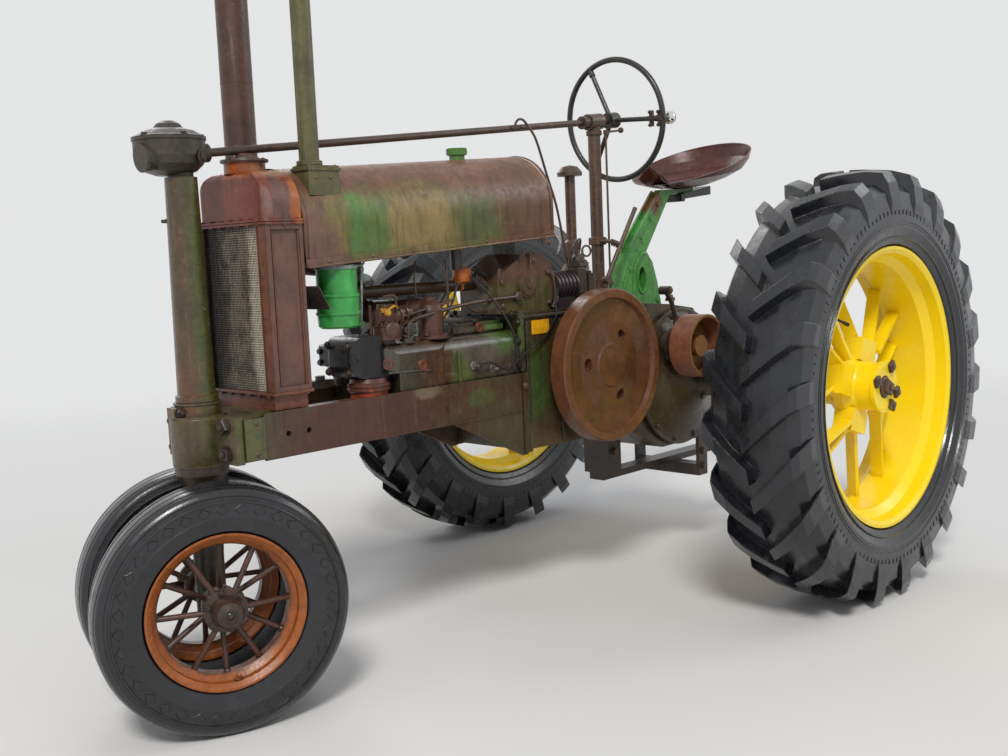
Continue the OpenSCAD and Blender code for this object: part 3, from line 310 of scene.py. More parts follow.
def make_finishes():
    m = {}

    def old(name, *recipe, **more):
        m[name] = aged(name, *recipe, **more)

    # name, main and second colour, patches per metre, roughness, pits, colour and share of flecks
    near = (-0.55, 0.8, 0.1)
    old("casting", "#453a26", "#54492c", 7, 0.34, 1.0, "#2d2419", 0.5, coat=0.2, streaks=0.3, edge=0.003,
        sides=[(near, "#4d5a24", 0.55)])
    # The column's light flecks, also along its streaks, are painted wet highlights.
    old("column", "#43341f", "#4d3920", 8, 0.24, 1.3, "#8b8263", 0.4, coat=0.35, streaks=0.25,
        sides=[(near, "#3f4a12", 0.9)], zones=[((2.067, 0, 0.93), (0.3, 0.3, 0.08), "#5a3a1f", 0.8)])
    old("greased", "#2b241d", "#3a2f25", 14, 0.28, 1.0, "#57412b", 0.35)
    # The gear case's upward faces are darkened to offset the lamps' light from above: painted shade.
    old("gear_case", "#2d2720", "#383228", 8, 0.36, 0.8, "#1b1714", 0.4, sides=[(UP, "#2a2620", 0.6)], edge=0.003)
    old("rail_paint", "#4c3224", "#463c2a", 3.5, 0.36, 0.5, "#6b5b44", 0.25, streaks=0.35, dirt=0.85,
        zones=[((1.62, 0.18, 0.79), (0.32, 0.1, 0.1), "#4a2b20", 0.9),
               ((1.12, 0.18, 0.8), (0.07, 0.05, 0.03), "#4a5c33", 0.6),
               ((1.03, 0.18, 0.66), (0.14, 0.1, 0.12), "#474230", 0.9),
               ((1.36, 0.18, 0.845), (0.05, 0.05, 0.02), "#776c55", 0.6)])
    old("grey_iron", "#7c736a", "#5d544b", 9, 0.35, 0.5, "#3b2c22", 0.4)
    old("tank_rust", "#613625", "#6f402d", 8, 0.34, 0.6, "#94552f", 0.35, grime="#24120d", streaks=0.2, edge=0.002)
    old("tank_top", "#652d1b", "#703421", 7, 0.3, 0.45, "#a6572a", 0.3, grime="#24120d", streaks=0.3, edge=0.002,
        zones=[((1.91, 0.06, 1.525), (0.08, 0.12, 0.03), "#984c20", 0.7),
               ((1.845, 0.165, 1.44), (0.035, 0.05, 0.075), "#5c423e", 0.9),
               ((1.795, 0.172, 1.44), (0.022, 0.05, 0.08), "#a05a28", 0.8),
               # The light strip on the near front corner is a painted highlight.
               ((1.9, 0.168, 1.44), (0.02, 0.02, 0.06), "#7d625b", 0.7),
               ((1.83, 0.1, 1.52), (0.05, 0.08, 0.02), "#8f5f3c", 0.8)])
    old("side_panel", "#5c4037", "#66463a", 3, 0.3, 0.25, "#87503a", 0.15, grime="#22130f", streaks=0.3, dirt=0.85,
        sides=[((1, 0.2, 0), "#6c3c27", 0.85)])
    # The core behind the wire grid is near black: painted shade of the core's depth.
    old("core_depth_shade", "#15110f", "#1c1613", 14, 0.6, grime="#080605")
    # The wires turn lighter towards the near side, a painted pool of light, and darker towards the far side, a painted
    # shadow of the steering column.
    old("grid_wire", "#8f8674", "#5e564a", 22, 0.45, 0.2, "#c9bfa8", 0.5, grime="#1a1512", share=0.4, dirt=0.5,
        zones=[((1.9, 0.12, 1.12), (0.1, 0.05, 0.3), "#e0d6bf", 0.9),
               ((1.9, -0.12, 1.14), (0.1, 0.08, 0.3), "#2b2621", 0.9)])
    old("cap_brown", "#54433a", "#3c2e27", 12, 0.4, 0.8, "#7d6a5c", 0.5)
    old("hood", "#6c4a36", "#5d3f2d", 4, 0.36, 0.35, "#8a6a44", 0.25, grime="#2b1c13", streaks=0.42,
        zones=[((1.3, 0.172, 1.375), (0.42, 0.2, 0.105), "#635f30", 0.85),
               ((1.55, 0.172, 1.36), (0.1, 0.2, 0.095), "#4b672c", 0.9),
               ((1.6, 0.172, 1.38), (0.035, 0.2, 0.08), "#467031", 0.9),
               ((1.66, 0.172, 1.375), (0.05, 0.2, 0.1), "#6c6233", 0.8),
               ((1.33, 0.172, 1.375), (0.13, 0.2, 0.085), "#8b7446", 0.9),
               ((1.07, 0.172, 1.37), (0.14, 0.2, 0.075), "#4c552c", 0.85),
               ((1.3, 0, 1.56), (0.7, 0.16, 0.05), "#7d5a49", 0.8),
               ((0.88, 0.172, 1.43), (0.12, 0.2, 0.18), "#5f3f2c", 0.8),
               ((1.72, 0.172, 1.3), (0.07, 0.2, 0.09), "#6a4c40", 0.9)])
    old("fuel_tank", "#34302c", "#3f3a38", 6, 0.3, 0.5, "#5c5247", 0.3)
    old("green_paint", "#4c7a35", "#5a7c45", 12, 0.36, 0.35, "#6b5236", 0.35, grime="#1d2216")
    # The air cleaner is darker green on its faces turned forward: painted shade.
    old("clean_green", "#3a9648", "#45a052", 3, 0.28, 0.12, grime="#123317", dirt=0.7,
        sides=[((0.9, 0.3, 0), "#1d6a2b", 0.5)])
    old("support_green", "#3f8334", "#4b8f3d", 9, 0.34, 0.4, "#4f3a25", 0.45, grime="#1d2a14", streaks=0.25,
        zones=[((-0.06, 0, 1.45), (0.06, 0.1, 0.06), "#6a3f22", 0.9)], edge=0.002)
    old("pipe_olive", "#585433", "#4e4c30", 6, 0.34, 0.4, "#7b774f", 0.3, grime="#221e14", streaks=0.4)
    old("stack_rust", "#4f3329", "#43291f", 6, 0.34, 0.9, "#8a7c72", 0.25, streaks=0.3)
    old("brown_rust", "#553527", "#46291e", 6, 0.36, 0.6, "#735a3e", 0.25, streaks=0.3)
    old("fittings", "#48362b", "#57402f", 16, 0.34, 0.7, "#75604a", 0.4)
    old("post", "#4b3a2e", "#5a4232", 8, 0.3, 0.5, "#837461", 0.25, streaks=0.3)
    old("block_paint", "#3c3526", "#473f34", 5, 0.24, 0.6, "#5d5a45", 0.3, coat=0.3, streaks=0.25, dirt=0.85,
        zones=[((0.98, 0.16, 1.0), (0.09, 0.1, 0.07), "#4e6a30", 0.85),
               ((1.19, 0.16, 0.88), (0.05, 0.06, 0.1), "#55602f", 0.8),
               ((1.3, 0.16, 0.93), (0.07, 0.08, 0.12), "#4a2f20", 0.9),
               ((1.46, 0.12, 0.9), (0.07, 0.1, 0.1), "#3c3a2c", 0.8),
               ((1.1, 0.15, 0.96), (0.1, 0.08, 0.06), "#5a5350", 0.6)], edge=0.004)
    old("manifold_rust", "#4f3023", "#40291f", 14, 0.32, 0.6, "#86492a", 0.4)
    old("filter_red", "#5a3426", "#4c2d22", 10, 0.3, 0.5, "#8a4a2c", 0.3,
        zones=[((1.527, 0.106, 0.79), (0.08, 0.08, 0.085), "#c8491c", 1.0)])
    old("governor", "#5c4030", "#4f3d2a", 6, 0.36, 0.6, "#7a6248", 0.3, streaks=0.3,
        zones=[((0.83, 0.13, 1.09), (0.2, 0.1, 0.07), "#4e4a28", 0.9)])
    old("magneto_black", "#282024", "#33272a", 14, 0.32, 0.5, "#5a4748", 0.3)
    old("case_olive", "#39301f", "#463a25", 6, 0.3, 0.9, "#5d5435", 0.35, streaks=0.4, edge=0.002, dirt=0.85,
        zones=[((0.86, 0.165, 0.8), (0.09, 0.1, 0.16), "#46572b", 0.8),
               ((0.8, 0.165, 0.62), (0.1, 0.1, 0.08), "#4c3b26", 0.8)])
    old("drum_rust", "#835139", "#70432f", 12, 0.32, 0.7, "#9a6146", 0.4, sides=[(LEFT, "#625a20", 0.55)], edge=0.003)
    old("flywheel_rust", "#694029", "#583620", 5, 0.22, 0.45, "#7b5b3c", 0.25, streaks=0.15, edge=0.003,
        # The lighter ring round the rim is a painted highlight.
        rings=[((0.571, 0.25, 0.8535), LEFT, 0.225, 0.235, "#70452a", 0.45)])
    old("seat_rust", "#4a211d", "#56291f", 5, 0.3, 0.35, "#7a4a3a", 0.2, grime="#1c0d0b", streaks=0.3)
    old("dark_iron", "#2c2520", "#3a2e27", 9, 0.34, 0.8, "#54412f", 0.25)
    old("rod_rust", "#3b2c24", "#4b362a", 20, 0.34, 0.5, "#7a6450", 0.35)
    old("bright_rod", "#8c9a94", "#6d7a74", 20, 0.3, 0.5, "#5b3b28", 0.3, grime="#2b2b28")
    old("porcelain", "#6f6a62", "#57514a", 24, 0.3, 0.5, "#3c2c22", 0.6)
    old("black_enamel", "#141416", "#1b1a1b", 6, 0.28, 0.25, "#2c2620", 0.25, grime="#090909")
    old("black_rim", "#2a2926", "#33302b", 12, 0.34, 0.3, "#4d443a", 0.2)
    old("brass", "#c08a1e", "#a8741a", 20, 0.28, 0.5, "#6b4420", 0.4, grime="#3b2610")
    old("amber", "#9a4f18", "#b9641c", 12, 0.2, 0.5, "#5b2f16", 0.4, grime="#2b150b")
    old("tag_yellow", "#e0a312", "#d4960e", 9, 0.4, 0.5, "#8f5c12", 0.35, grime="#6b4410")
    old("rim_rust", "#8a4a1e", "#733a19", 9, 0.34, 0.6, "#c0691f", 0.4, grime="#2b150c")
    for side in ("left", "right"):
        place = WHEELS["front_" + side]
        hub = place @ Vector((0, 0.05, 0))
        axle = place.to_3x3() @ Vector(LEFT)
        old("wheel_rust_" + side, "#3e271d", "#4d2e20", 12, 0.32, 0.7, "#84502a", 0.3, grime="#170e0a", dirt=0.85,
            rings=[(hub, axle, 0.176, 0.188, "#96501a", 0.95)], zones=[(hub, (0.07, 0.07, 0.07), "#3a2d25", 0.8)])
    old("yellow_paint", "#fcdb10", "#fad70f", 2, 0.26, 0.06, grime="#c49a0c", dirt=0.5, cloud=0.12, edge=0.002)
    old("tyre", "#151619", "#1b1d22", 4, 0.26, 0.5, "#3b3936", 0.2, grime="#08080a", coat=0.35, edge=0.001)
    old("lugged_tyre", "#15161a", "#1b1d23", 3, 0.26, 0.5, "#2d2c2c", 0.15, grime="#08080a", coat=0.3, edge=0.006)
    m["chrome"] = Finish("chrome").done((0.75, 0.74, 0.72, 1), 0.12, metal=1.0)
    return m


# Nodes that don't take the finish of their own slot
NODE_FINISH = {
    "bolster": "casting", "steering_column": "column", "gear_case": "gear_case", "frame_rails": "rail_paint",
    "radiator_bottom_tank": "tank_rust", "radiator_core": "core_depth_shade", "radiator_sides": "side_panel",
    "radiator_top_tank": "tank_top", "radiator_cap": "cap_brown", "hood": "hood", "fuel_tank": "fuel_tank",
    "fuel_cap": "green_paint", "exhaust_stack": "stack_rust", "intake_stack": "pipe_olive",
    "air_cleaner": "clean_green", "cylinder_block": "block_paint", "valve_cover": "black_enamel",
    "manifold": "manifold_rust", "carburettor": "manifold_rust", "filter_can": "filter_red",
    "governor_case": "governor", "magneto": "magneto_black", "breather": "post", "crankcase": "case_olive",
    "axle_housings": "case_olive", "brake_drums": "drum_rust", "steering_post": "post", "hand_levers": "post",
    "brake_pedals": "dark_iron", "seat_support": "support_green", "seat_pan": "seat_rust", "spindle": "greased",
    "front_wheel_left": "wheel_rust_left", "front_wheel_right": "wheel_rust_right",
    "rear_tyre_left": "lugged_tyre", "rear_tyre_right": "lugged_tyre", "flywheel": "flywheel_rust",
    "belt_pulley": "brown_rust", "steering_shaft": "rod_rust",
}


def dress():
    for part in frame["record"]["subparts"]:
        name = part["node"]
        for place in nodes[name].material_slots:
            place.material = finishes[NODE_FINISH.get(name, part["material_slot"])]


# Shapes
MM = 0.001


def spots(radius, *angles):
    return [(radius * cos(t), radius * sin(t)) for t in angles]


def around(count, radius, start=0.0):
    """Points spread round a circle, the first one start steps on."""
    return spots(radius, *(tau * (i + start) / count for i in range(count)))


def turn_y(degrees):
    return Matrix.Rotation(radians(degrees), 4, "Y")


class Solid:
    """Gathers plain shapes into one mesh. Their lengths are in millimetres. base, in metres, places them;
    without it they are in the frame of at()."""

    def __init__(self, base=None):
        self.base = base or Matrix.Identity(4)
        self.points, self.faces = [], []

    def add(self, points, faces):
        start = len(self.points)
        flip = self.base.determinant() < 0
        self.points += [self.base @ (Vector(p) * MM) for p in points]
        self.faces += [tuple(start + i for i in (reversed(f) if flip else f)) for f in faces]

    def lathe(self, place, axis, profile, n=20, turn=0.0, loop=False):
        """Profile points are (radius, height along the axis). A loop is a ring with no ends."""
        axis = Vector(axis).normalized()
        side = Vector(UP) if abs(axis.z) < 0.9 else Vector(AHEAD)
        side = (side - side.dot(axis) * axis).normalized()
        other = axis.cross(side)
        rings, points = [], []
        for r, h in profile:
            count = 1 if r < 1e-6 else n
            rings.append(range(len(points), len(points) + count))
            middle = Vector(place) + axis * h
            for i in range(count):
                t = tau * i / n + turn
                points.append(middle + r * (cos(t) * side + sin(t) * other))
        faces = []
        for low, high in zip(rings, [*rings[1:], rings[0]] if loop else rings[1:]):
            for i in range(n):
                j = (i + 1) % n
                if len(low) == 1:
                    faces.append((low[0], high[j], high[i]))
                elif len(high) == 1:
                    faces.append((low[i], low[j], high[0]))
                else:
                    faces.append((low[i], low[j], high[j], high[i]))
        self.add(points, faces)

    def rod(self, a, b, r, r2=None, n=14):
        ahead = Vector(b) - Vector(a)
        length = ahead.length
        r2 = r if r2 is None else r2
        e = min(0.15 * r, 0.1 * length)
        self.lathe(a, ahead, [(0, 0), (r - e, 0), (r, e), (r2, length - e), (r2 - e, length), (0, length)], n)

    def ring(self, place, axis, r, r2, height, n=28):
        """Flat ring from radius r to r2."""
        e = min(0.25 * height, 0.25 * (r2 - r))
        self.lathe(place, axis, [(r, 0), (r2 - e, 0), (r2, e), (r2, height - e), (r2 - e, height), (r, height)],
                   n, 0, r > 0)

    def bolt(self, place, axis, size, stud=0.0, turn=0.3, sides=6, washer=True):
        """Bolt head or nut of thread diameter size, standing on place."""
        axis = Vector(axis).normalized()
        base = Vector(place)
        if washer:
            top = base + axis * 0.14 * size
            self.rod(base, top, 1.15 * size, None, 16)
            base = top
        wide = 0.82 * size / cos(pi / sides)
        high = 0.68 * size
        self.lathe(base, axis, [(0, 0), (wide, 0), (wide, 0.8 * high), (0.86 * wide, high), (0, high)], sides, turn)
        if stud:
            self.rod(base, base + axis * (high + stud), 0.5 * size, 0.47 * size, 12)

    def rivet(self, place, axis, r):
        self.lathe(place, axis, [(0, 0), (r, 0), (0.92 * r, 0.35 * r), (0.6 * r, 0.65 * r), (0, 0.78 * r)], 12)

    def pipe(self, path, r, n=8, steps=6):
        """Round bar along a smooth curve through the path's points."""
        path = [Vector(p) for p in path]
        if steps > 1 and len(path) > 2:
            ends = [2 * path[0] - path[1]] + path + [2 * path[-1] - path[-2]]
            fine = []
            for k in range(1, len(ends) - 2):
                a, b, c, d = ends[k - 1:k + 3]
                for t in (s / steps for s in range(steps)):
                    fine.append(0.5 * (2 * b + (c - a) * t + (2 * a - 5 * b + 4 * c - d) * t * t
                                       + (3 * b - a - 3 * c + d) * t ** 3))
            path = fine + [path[-1]]
        side = (path[1] - path[0]).normalized().orthogonal().normalized()
        last = len(path) - 1
        points = []
        for k, p in enumerate(path):
            new = (path[min(k + 1, last)] - path[max(k - 1, 0)]).normalized()
            side = (side - side.dot(new) * new).normalized()
            other = new.cross(side)
            points += [p + r * (cos(tau * i / n) * side + sin(tau * i / n) * other) for i in range(n)]
        faces = [(k * n + i, k * n + (i + 1) % n, (k + 1) * n + (i + 1) % n, (k + 1) * n + i)
                 for k in range(last) for i in range(n)]
        self.add(points, faces + [tuple(reversed(range(n))), tuple(range(last * n, len(path) * n))])

    def coil(self, a, b, radius, r, turns, steps=12):
        a, b = Vector(a), Vector(b)
        axis = (b - a).normalized()
        side = axis.orthogonal().normalized()
        other = axis.cross(side)
        count = int(turns * steps)
        self.pipe([a + (b - a) * i / count + radius * (cos(tau * i / steps) * side + sin(tau * i / steps) * other)
                   for i in range(count + 1)], r, 6, 1)

    def block(self, corner, other, edge=0.0):
        """Box between two corners, with chamfers of size edge."""
        (x0, x1), (y0, y1), (z0, z1) = (sorted(pair) for pair in zip(corner, other))
        if not edge:
            points = [(x, y, z) for x in (x0, x1) for y in (y0, y1) for z in (z0, z1)]
            self.add(points, [(0, 1, 3, 2), (4, 6, 7, 5), (0, 4, 5, 1), (2, 3, 7, 6), (0, 2, 6, 4), (1, 5, 7, 3)])
            return
        bm = bmesh.new()
        bmesh.ops.create_cube(bm, size=1.0)
        for v in bm.verts:
            v.co = Vector((x0 + (v.co.x + 0.5) * (x1 - x0), y0 + (v.co.y + 0.5) * (y1 - y0),
                           z0 + (v.co.z + 0.5) * (z1 - z0)))
        bmesh.ops.bevel(bm, geom=list(bm.edges), offset=edge, segments=2, affect="EDGES")
        bm.verts.ensure_lookup_table()
        self.add([v.co.copy() for v in bm.verts], [tuple(v.index for v in f.verts) for f in bm.faces])
        bm.free()

    def prism(self, outline, y0, y1):
        """Outline of (x, z) points as a plate from y0 to y1."""
        n = len(outline)
        faces = [tuple(range(n)), tuple(reversed(range(n, 2 * n)))]
        faces += [(i, i + n, (i + 1) % n + n, (i + 1) % n) for i in range(n)]
        self.add([(x, y, z) for y in (y0, y1) for x, z in outline], faces)

    def grid(self, rows):
        n = len(rows[0])
        self.add([p for row in rows for p in row],
                 [(k * n + i, k * n + i + 1, (k + 1) * n + i + 1, (k + 1) * n + i)
                  for k in range(len(rows) - 1) for i in range(n - 1)])


def piece(name, solid, slot, finish=None, body="chassis", thick=0.0, sharp=0.6):
    """Makes an object of what a solid holds, and empties it. Without a finish it has that of its slot."""
    mesh = bpy.data.meshes.new(name)
    mesh.from_pydata([at(*p) for p in solid.points], [], solid.faces)
    solid.points, solid.faces = [], []
    bm = bmesh.new()
    bm.from_mesh(mesh)
    bmesh.ops.recalc_face_normals(bm, faces=bm.faces)
    bm.to_mesh(mesh)
    bm.free()
    mesh.shade_smooth()
    mesh.set_sharp_from_angle(angle=sharp)
    o = bpy.data.objects.new(name, mesh)
    show(o)
    if thick:
        wall = o.modifiers.new("thickness", "SOLIDIFY")
        wall.thickness, wall.offset = thick * MM, 0.0
    mesh.materials.append(finishes[finish or slot])
    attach(o, body)
    return o


def front_tyres():
    tread = [(205, 45.5), (218, 51), (224, 59), (252, 68.8), (262.5, 71.7), (264.5, 72.8),
             (266.5, 71.7), (268, 71.6), (300, 71.2), (302, 71.2), (303.5, 75.2), (306.5, 75.2),
             (308.5, 73.2), (310, 70.8), (318.5, 69.4), (320.5, 70.6), (323.5, 70), (325, 68),
             (329.5, 65.5), (334, 61.8), (337.5, 56.2), (339.5, 51.5), (339.5, 49.5),
             (332.5, 48.5), (332.5, 44.5), (341, 43.5), (343.2, 34.5), (344, 27.5),
             (344, 22.8), (335.5, 21.5), (335.5, 16.5), (344, 15.2)]
    inside = [(331, 36), (309, 59), (285, 63), (237, 50), (203, 31.5)]
    loop = ([(r, -y) for r, y in tread] + [(344.2, 0)] + tread[::-1]
            + inside[::-1] + [(332, 0)] + [(r, -y) for r, y in inside])
    # Foot and top of a raised diamond on the sidewall: radius, angle and height of each corner
    diamond = [(270, 0, 71), (285, 0.068, 71), (300, 0, 70.5), (285, -0.068, 71),
               (272.2, 0, 74.5), (285, 0.058, 74.5), (297.8, 0, 74.2), (285, -0.058, 74.5)]
    diamonds = 36
    for side in ("left", "right"):
        s = Solid(WHEELS["front_" + side])
        s.lathe((0, 0, 0), LEFT, loop, 144, 0, True)
        for face in (-1, 1):
            for i in range(diamonds):
                corners = []
                for r, t, y in diamond:
                    a = tau * i / diamonds + t
                    corners.append((r * cos(a), face * y, r * sin(a)))
                s.add(corners, [(4, 5, 6, 7), (0, 1, 5, 4), (1, 2, 6, 5), (2, 3, 7, 6), (3, 0, 4, 7)])
        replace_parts(piece("ribbed_tyre_" + side, s, "tyre", None, "front_" + side, 0, 0.5), "front_tyre_" + side)


def rear_tyres():
    beads = 132
    for side in ("left", "right"):
        wheel = WHEELS["rear_" + side]
        s = Solid(wheel)
        for face in (-1, 1):
            s.base = wheel
            for r, y in ((512, 156.5), (556, 166.5), (565.5, 166.3)):
                foot, top = y - 4, y + 2.2
                s.lathe((0, 0, 0), (0, face, 0),
                        [(r - 4, foot), (r - 1.5, top), (r + 1.5, top), (r + 4, foot)], 144, 0, True)
            for i in range(beads):
                s.base = wheel @ turn_y(i * 360 / beads)
                s.block((588, 163 * face - 4, -3.5), (604, 163 * face + 4.5, 3.5))
        piece("sidewall_beads_" + side, s, "tyre", None, "rear_" + side)


def wheel_fittings():
    for side in ("left", "right"):
        body = "rear_" + side
        s = Solid(WHEELS[body])
        for angle in (118, 199, 241, 20):
            t = radians(angle)
            s.bolt((77 * cos(t), 113, 77 * sin(t)), LEFT, 20, 4, 0.785 + t, 4, False)
        s.lathe((0, 103, 0), LEFT, [(36, 0), (36, 10), (30, 14), (0, 14)], 24)
        s.bolt((0, 116, 0), LEFT, 26, 6, 0.3, 4, False)
        piece("hub_bolts_" + side, s, "brown_rust", "fittings", body)
        s = Solid(WHEELS[body] @ turn_y(-38))
        s.pipe([(425, 85, 0), (418, 105, 0), (400, 122, 0)], 4.5)
        s.rod((400, 122, 0), (386, 134, 0), 6)
        piece("valve_" + side, s, "black_enamel", None, body)

        body = "front_" + side
        s = Solid(WHEELS[body])
        for i, (x, z) in enumerate(around(6, 51, 0.3)):
            s.bolt((x, 33, z), LEFT, 11, 3, i)
        s.ring((0, 83, 0), LEFT, 12, 20, 6)
        s.lathe((0, 85, 0), LEFT, [(9.5, 0), (9.5, 2), (6, 5), (0, 5)], 16)
        s.rod((-20, 52, 34), (-28, 56, 47), 4, 3)
        for z, x in around(12, 1):
            s.lathe((180 * x, 0, 180 * z), (-x, 0, -z), [(0, -2), (10.5, -2), (10.5, 2), (8, 5), (7.2, 8)], 12)
        piece("front_hub_fittings_" + side, s, "dark_iron", "greased", body)
        s = Solid(WHEELS[body] @ turn_y(96))
        s.pipe([(190, 35, 0), (184, 48, 0), (175, 60, 0)], 4.2)
        s.bolt((191.5, 40, 0), (-1, 0.25, 0), 10)
        piece("front_valve_" + side, s, "orange_rust", "rim_rust", body)


def radiator():
    s = Solid()
    for k in range(70):
        z = 911.5 + 6.6 * k
        s.block((1897.5, -137, z - 0.65), (1902.5, 137, z + 0.65))
    for k in range(-19, 20):
        y = 7.1 * k
        s.block((1899, y - 0.7, 908.5), (1901.5, y + 0.7, 1369.5))
    piece("radiator_grid", s, "core_fins", "grid_wire")
    for k in range(-3, 4):
        for z, d in ((1383.8, 1), (1370.2, -1)):
            s.bolt((1908.5, 47 * k, z), (0, 0, d), 6.2, 1, k, washer=False)
        s.bolt((1908.5, 47 * k, 899.8), DOWN, 7.2, 4, k, washer=False)
    for y in (-172.7, 172.7):
        for x in (1800, 1845, 1890):
            for z, d in ((1383.8, 1), (1370.2, -1), (899.8, -1)):
                s.bolt((x, y, z), (0, 0, d), 5.5, 1, x * 0.009, washer=False)
    piece("radiator_bolts", s, "orange_rust", "tank_rust")
    for y in (-1, 1):
        s.block((1907.5, 136 * y, 908.5), (1910.5, 172 * y, 1369.5), 1)
        s.block((1907, 134 * y, 908.5), (1913, 138 * y, 1369.5), 1)
    for y in (-165.5, 165.5):
        s.pipe([(1797, y, 925), (1797, y, 1355)], 4, steps=1)
        s.pipe([(1884, y, 925), (1884, y, 1355)], 3, steps=1)
    piece("radiator_frame_strips", s, "brown_rust", "side_panel")
    s.lathe((1845, 0, 1566.5), UP, [(0, 0), (30, 0), (24, 8), (0, 11)], 9)
    s.block((1790, -11, 1556.5), (1900, 11, 1562.5), 2)
    for x, y in spots(52, 0.4, 2.5, 4.4):
        s.rivet((1845 + x, y, 1557.5), UP, 7)
    piece("radiator_cap_lugs", s, "brown_rust")


def front_end():
    s = Solid()
    for y in (-130, 130):
        for z in (831, 757):
            s.bolt((2046, y, z), AHEAD, 20, 8, z * 0.03, 4)
    for y in (-1, 1):
        s.bolt((2117, 18 * y, 871.5), (0, y, 0), 13, 6)
    s.bolt((2024, 67, 1557), (-454, 891, 0), 14, washer=False)
    s.ring((2023.5, 66, 1557), (-454, 891, 0), 0, 19, 6)
    s.rod((2146, 28, 1536), (2160, 36, 1532), 6)
    s.bolt((2158, 34, 1532), (860, 500, -200), 8)
    s.rod((2081.5, -34, 1390), (2091, -46, 1390), 6, 5)
    for i, (x, y) in enumerate(around(5, 86, 0.2)):
        s.bolt((2067 + x, y - 18, 1613.5), UP, 9.5, 0, i)
    piece("front_bolts", s, "dark_iron", "greased")
    for y in (-1, 1):
        s.block((2022, 105 * y, 731), (2045.5, 172 * y, 856), 7)
        s.prism([(1957, 735), (2022, 735), (2022, 850), (1957, 850)], 179.5 * y, 183.5 * y)
    s.ring((2050, 0, 886.5), UP, 50, 65.5, 8, 40)
    s.lathe((2050, 0, 718), UP, [(60, -4), (72, -4), (77.5, 4), (78.5, 132), (74, 138.5), (60, 140)], 48)
    piece("bolster_ears", s, "olive_paint", "casting")


def rails():
    s = Solid()
    for y in (-1, 1):
        out = 180 * y
        s.block((908, out, 585), (927, 186 * y, 856), 1.5)
        s.pipe([(1247, out, 728.5), (930, out, 728.5)], 3.5, 6, 1)
        s.pipe([(1245, out, 726.5), (934, out, 581)], 2.5, 6, 1)
    piece("gusset_strips", s, "brown_rust", "rail_paint")
    for y in (-1, 1):
        s.bolt((917.5, 186 * y, 815), (0, y, 0), 12, 3)
        for z in (835, 750):
            s.rivet((1985, 180 * y, z), (0, y, 0), 9)
    piece("rail_bolts", s, "brown_rust", "fittings")
    s.block((1465, -176, 858), (1555, -140, 884), 4)
    s.rod((1510, -158, 884), (1510, -158, 898), 16)
    s.pipe([(1555, -158, 872), (1620, -150, 874), (1700, -120, 870), (1780, -100, 885)], 12, 10)
    piece("far_rail_block", s, "dark_iron", "grey_iron")


def lip_z(x):
    """Height of the hood's lower edge."""
    return 1246 + (1776 - x) * 0.0629


def hood_trim():
    s = Solid()
    for y in (-1, 1):
        for x in (760, 900, 1060, 1220, 1380, 1540, 1700):
            s.rivet((x, 176 * y, lip_z(x) + 12), (0, y, 0), 5.5)
        s.bolt((789, 174 * y, lip_z(789) - 2), (0, y, 0), 10, 4)
        s.bolt((755, 172 * y, lip_z(755) - 18), (0, y, 0), 8, 4)
        s.pipe([(x, 176.5 * y, lip_z(x) + 1) for x in (1772, 731)], 3.5, steps=1)
    piece("hood_lip", s, "olive_paint", "hood")
    r = 173.2
    for x in (1773.5, 732.5):
        foot = lip_z(x)
        arch = spots(r, *(pi * i / 32 for i in range(33)))
        s.grid([[(edge, r, foot)] + [(edge, y, foot + 113 + z) for y, z in arch] + [(edge, -r, foot)]
                for edge in (x - 6, x + 6)])
    piece("hood_end_beads", s, "olive_paint", "hood", thick=3)
    for x in (1637, 1727):
        for y in (82, 113, 144):
            s.rivet((x, y, 1535), UP, 4)
    s.ring((1702, 112, 1535), UP, 29, 37, 14, 32)
    s.block((1622, 71, 1520), (1741, 155, 1528), 1)
    s.rivet((1660, 150, 1500), LEFT, 5)
    s.rivet((1710, 150, 1500), LEFT, 5)
    piece("intake_box_trim", s, "olive_paint", "pipe_olive")
    stack = 1727, -190
    s.ring((*stack, 1385), UP, 48, 52.5, 22, 40)
    s.bolt((1727, -242.5, 1396), RIGHT, 8)
    s.ring((*stack, 2228), UP, 44, 49.2, 12, 40)
    s.ring((*stack, 1800), UP, 47, 48.8, 4, 40)
    piece("exhaust_bands", s, "orange_rust", "stack_rust")
    for x, y in around(20, 32.5):
        s.block((x + 1006, y - 2, 1597), (x + 1010, y + 2, 1615))
    piece("fuel_cap_ribs", s, "green_paint")


def air_cleaner_fittings():
    s = Solid()
    s.pipe([(1548, 130, 1245), (1553.5, 130, 1160), (1560.5, 130, 1078)], 3.5, steps=1)
    s.ring((1630, 112, 1238), UP, 59.5, 63.5, 12, 40)
    s.pipe([(1572, 130, 1245), (1548, 130, 1248), (1540, 135, 1255)], 4)
    piece("air_cleaner_rod", s, "dark_iron", "bright_rod")
    s.rod((1559.5, 130, 1076), (1561, 130, 1060), 7, 6)
    for d in (-1, 1):
        s.pipe([(1560, 130, 1068), (1560 + 11 * d, 130 + 8 * d, 1076), (1560 + 17 * d, 130 + 12 * d, 1070)], 4.5)
    piece("wing_nut", s, "green_paint")


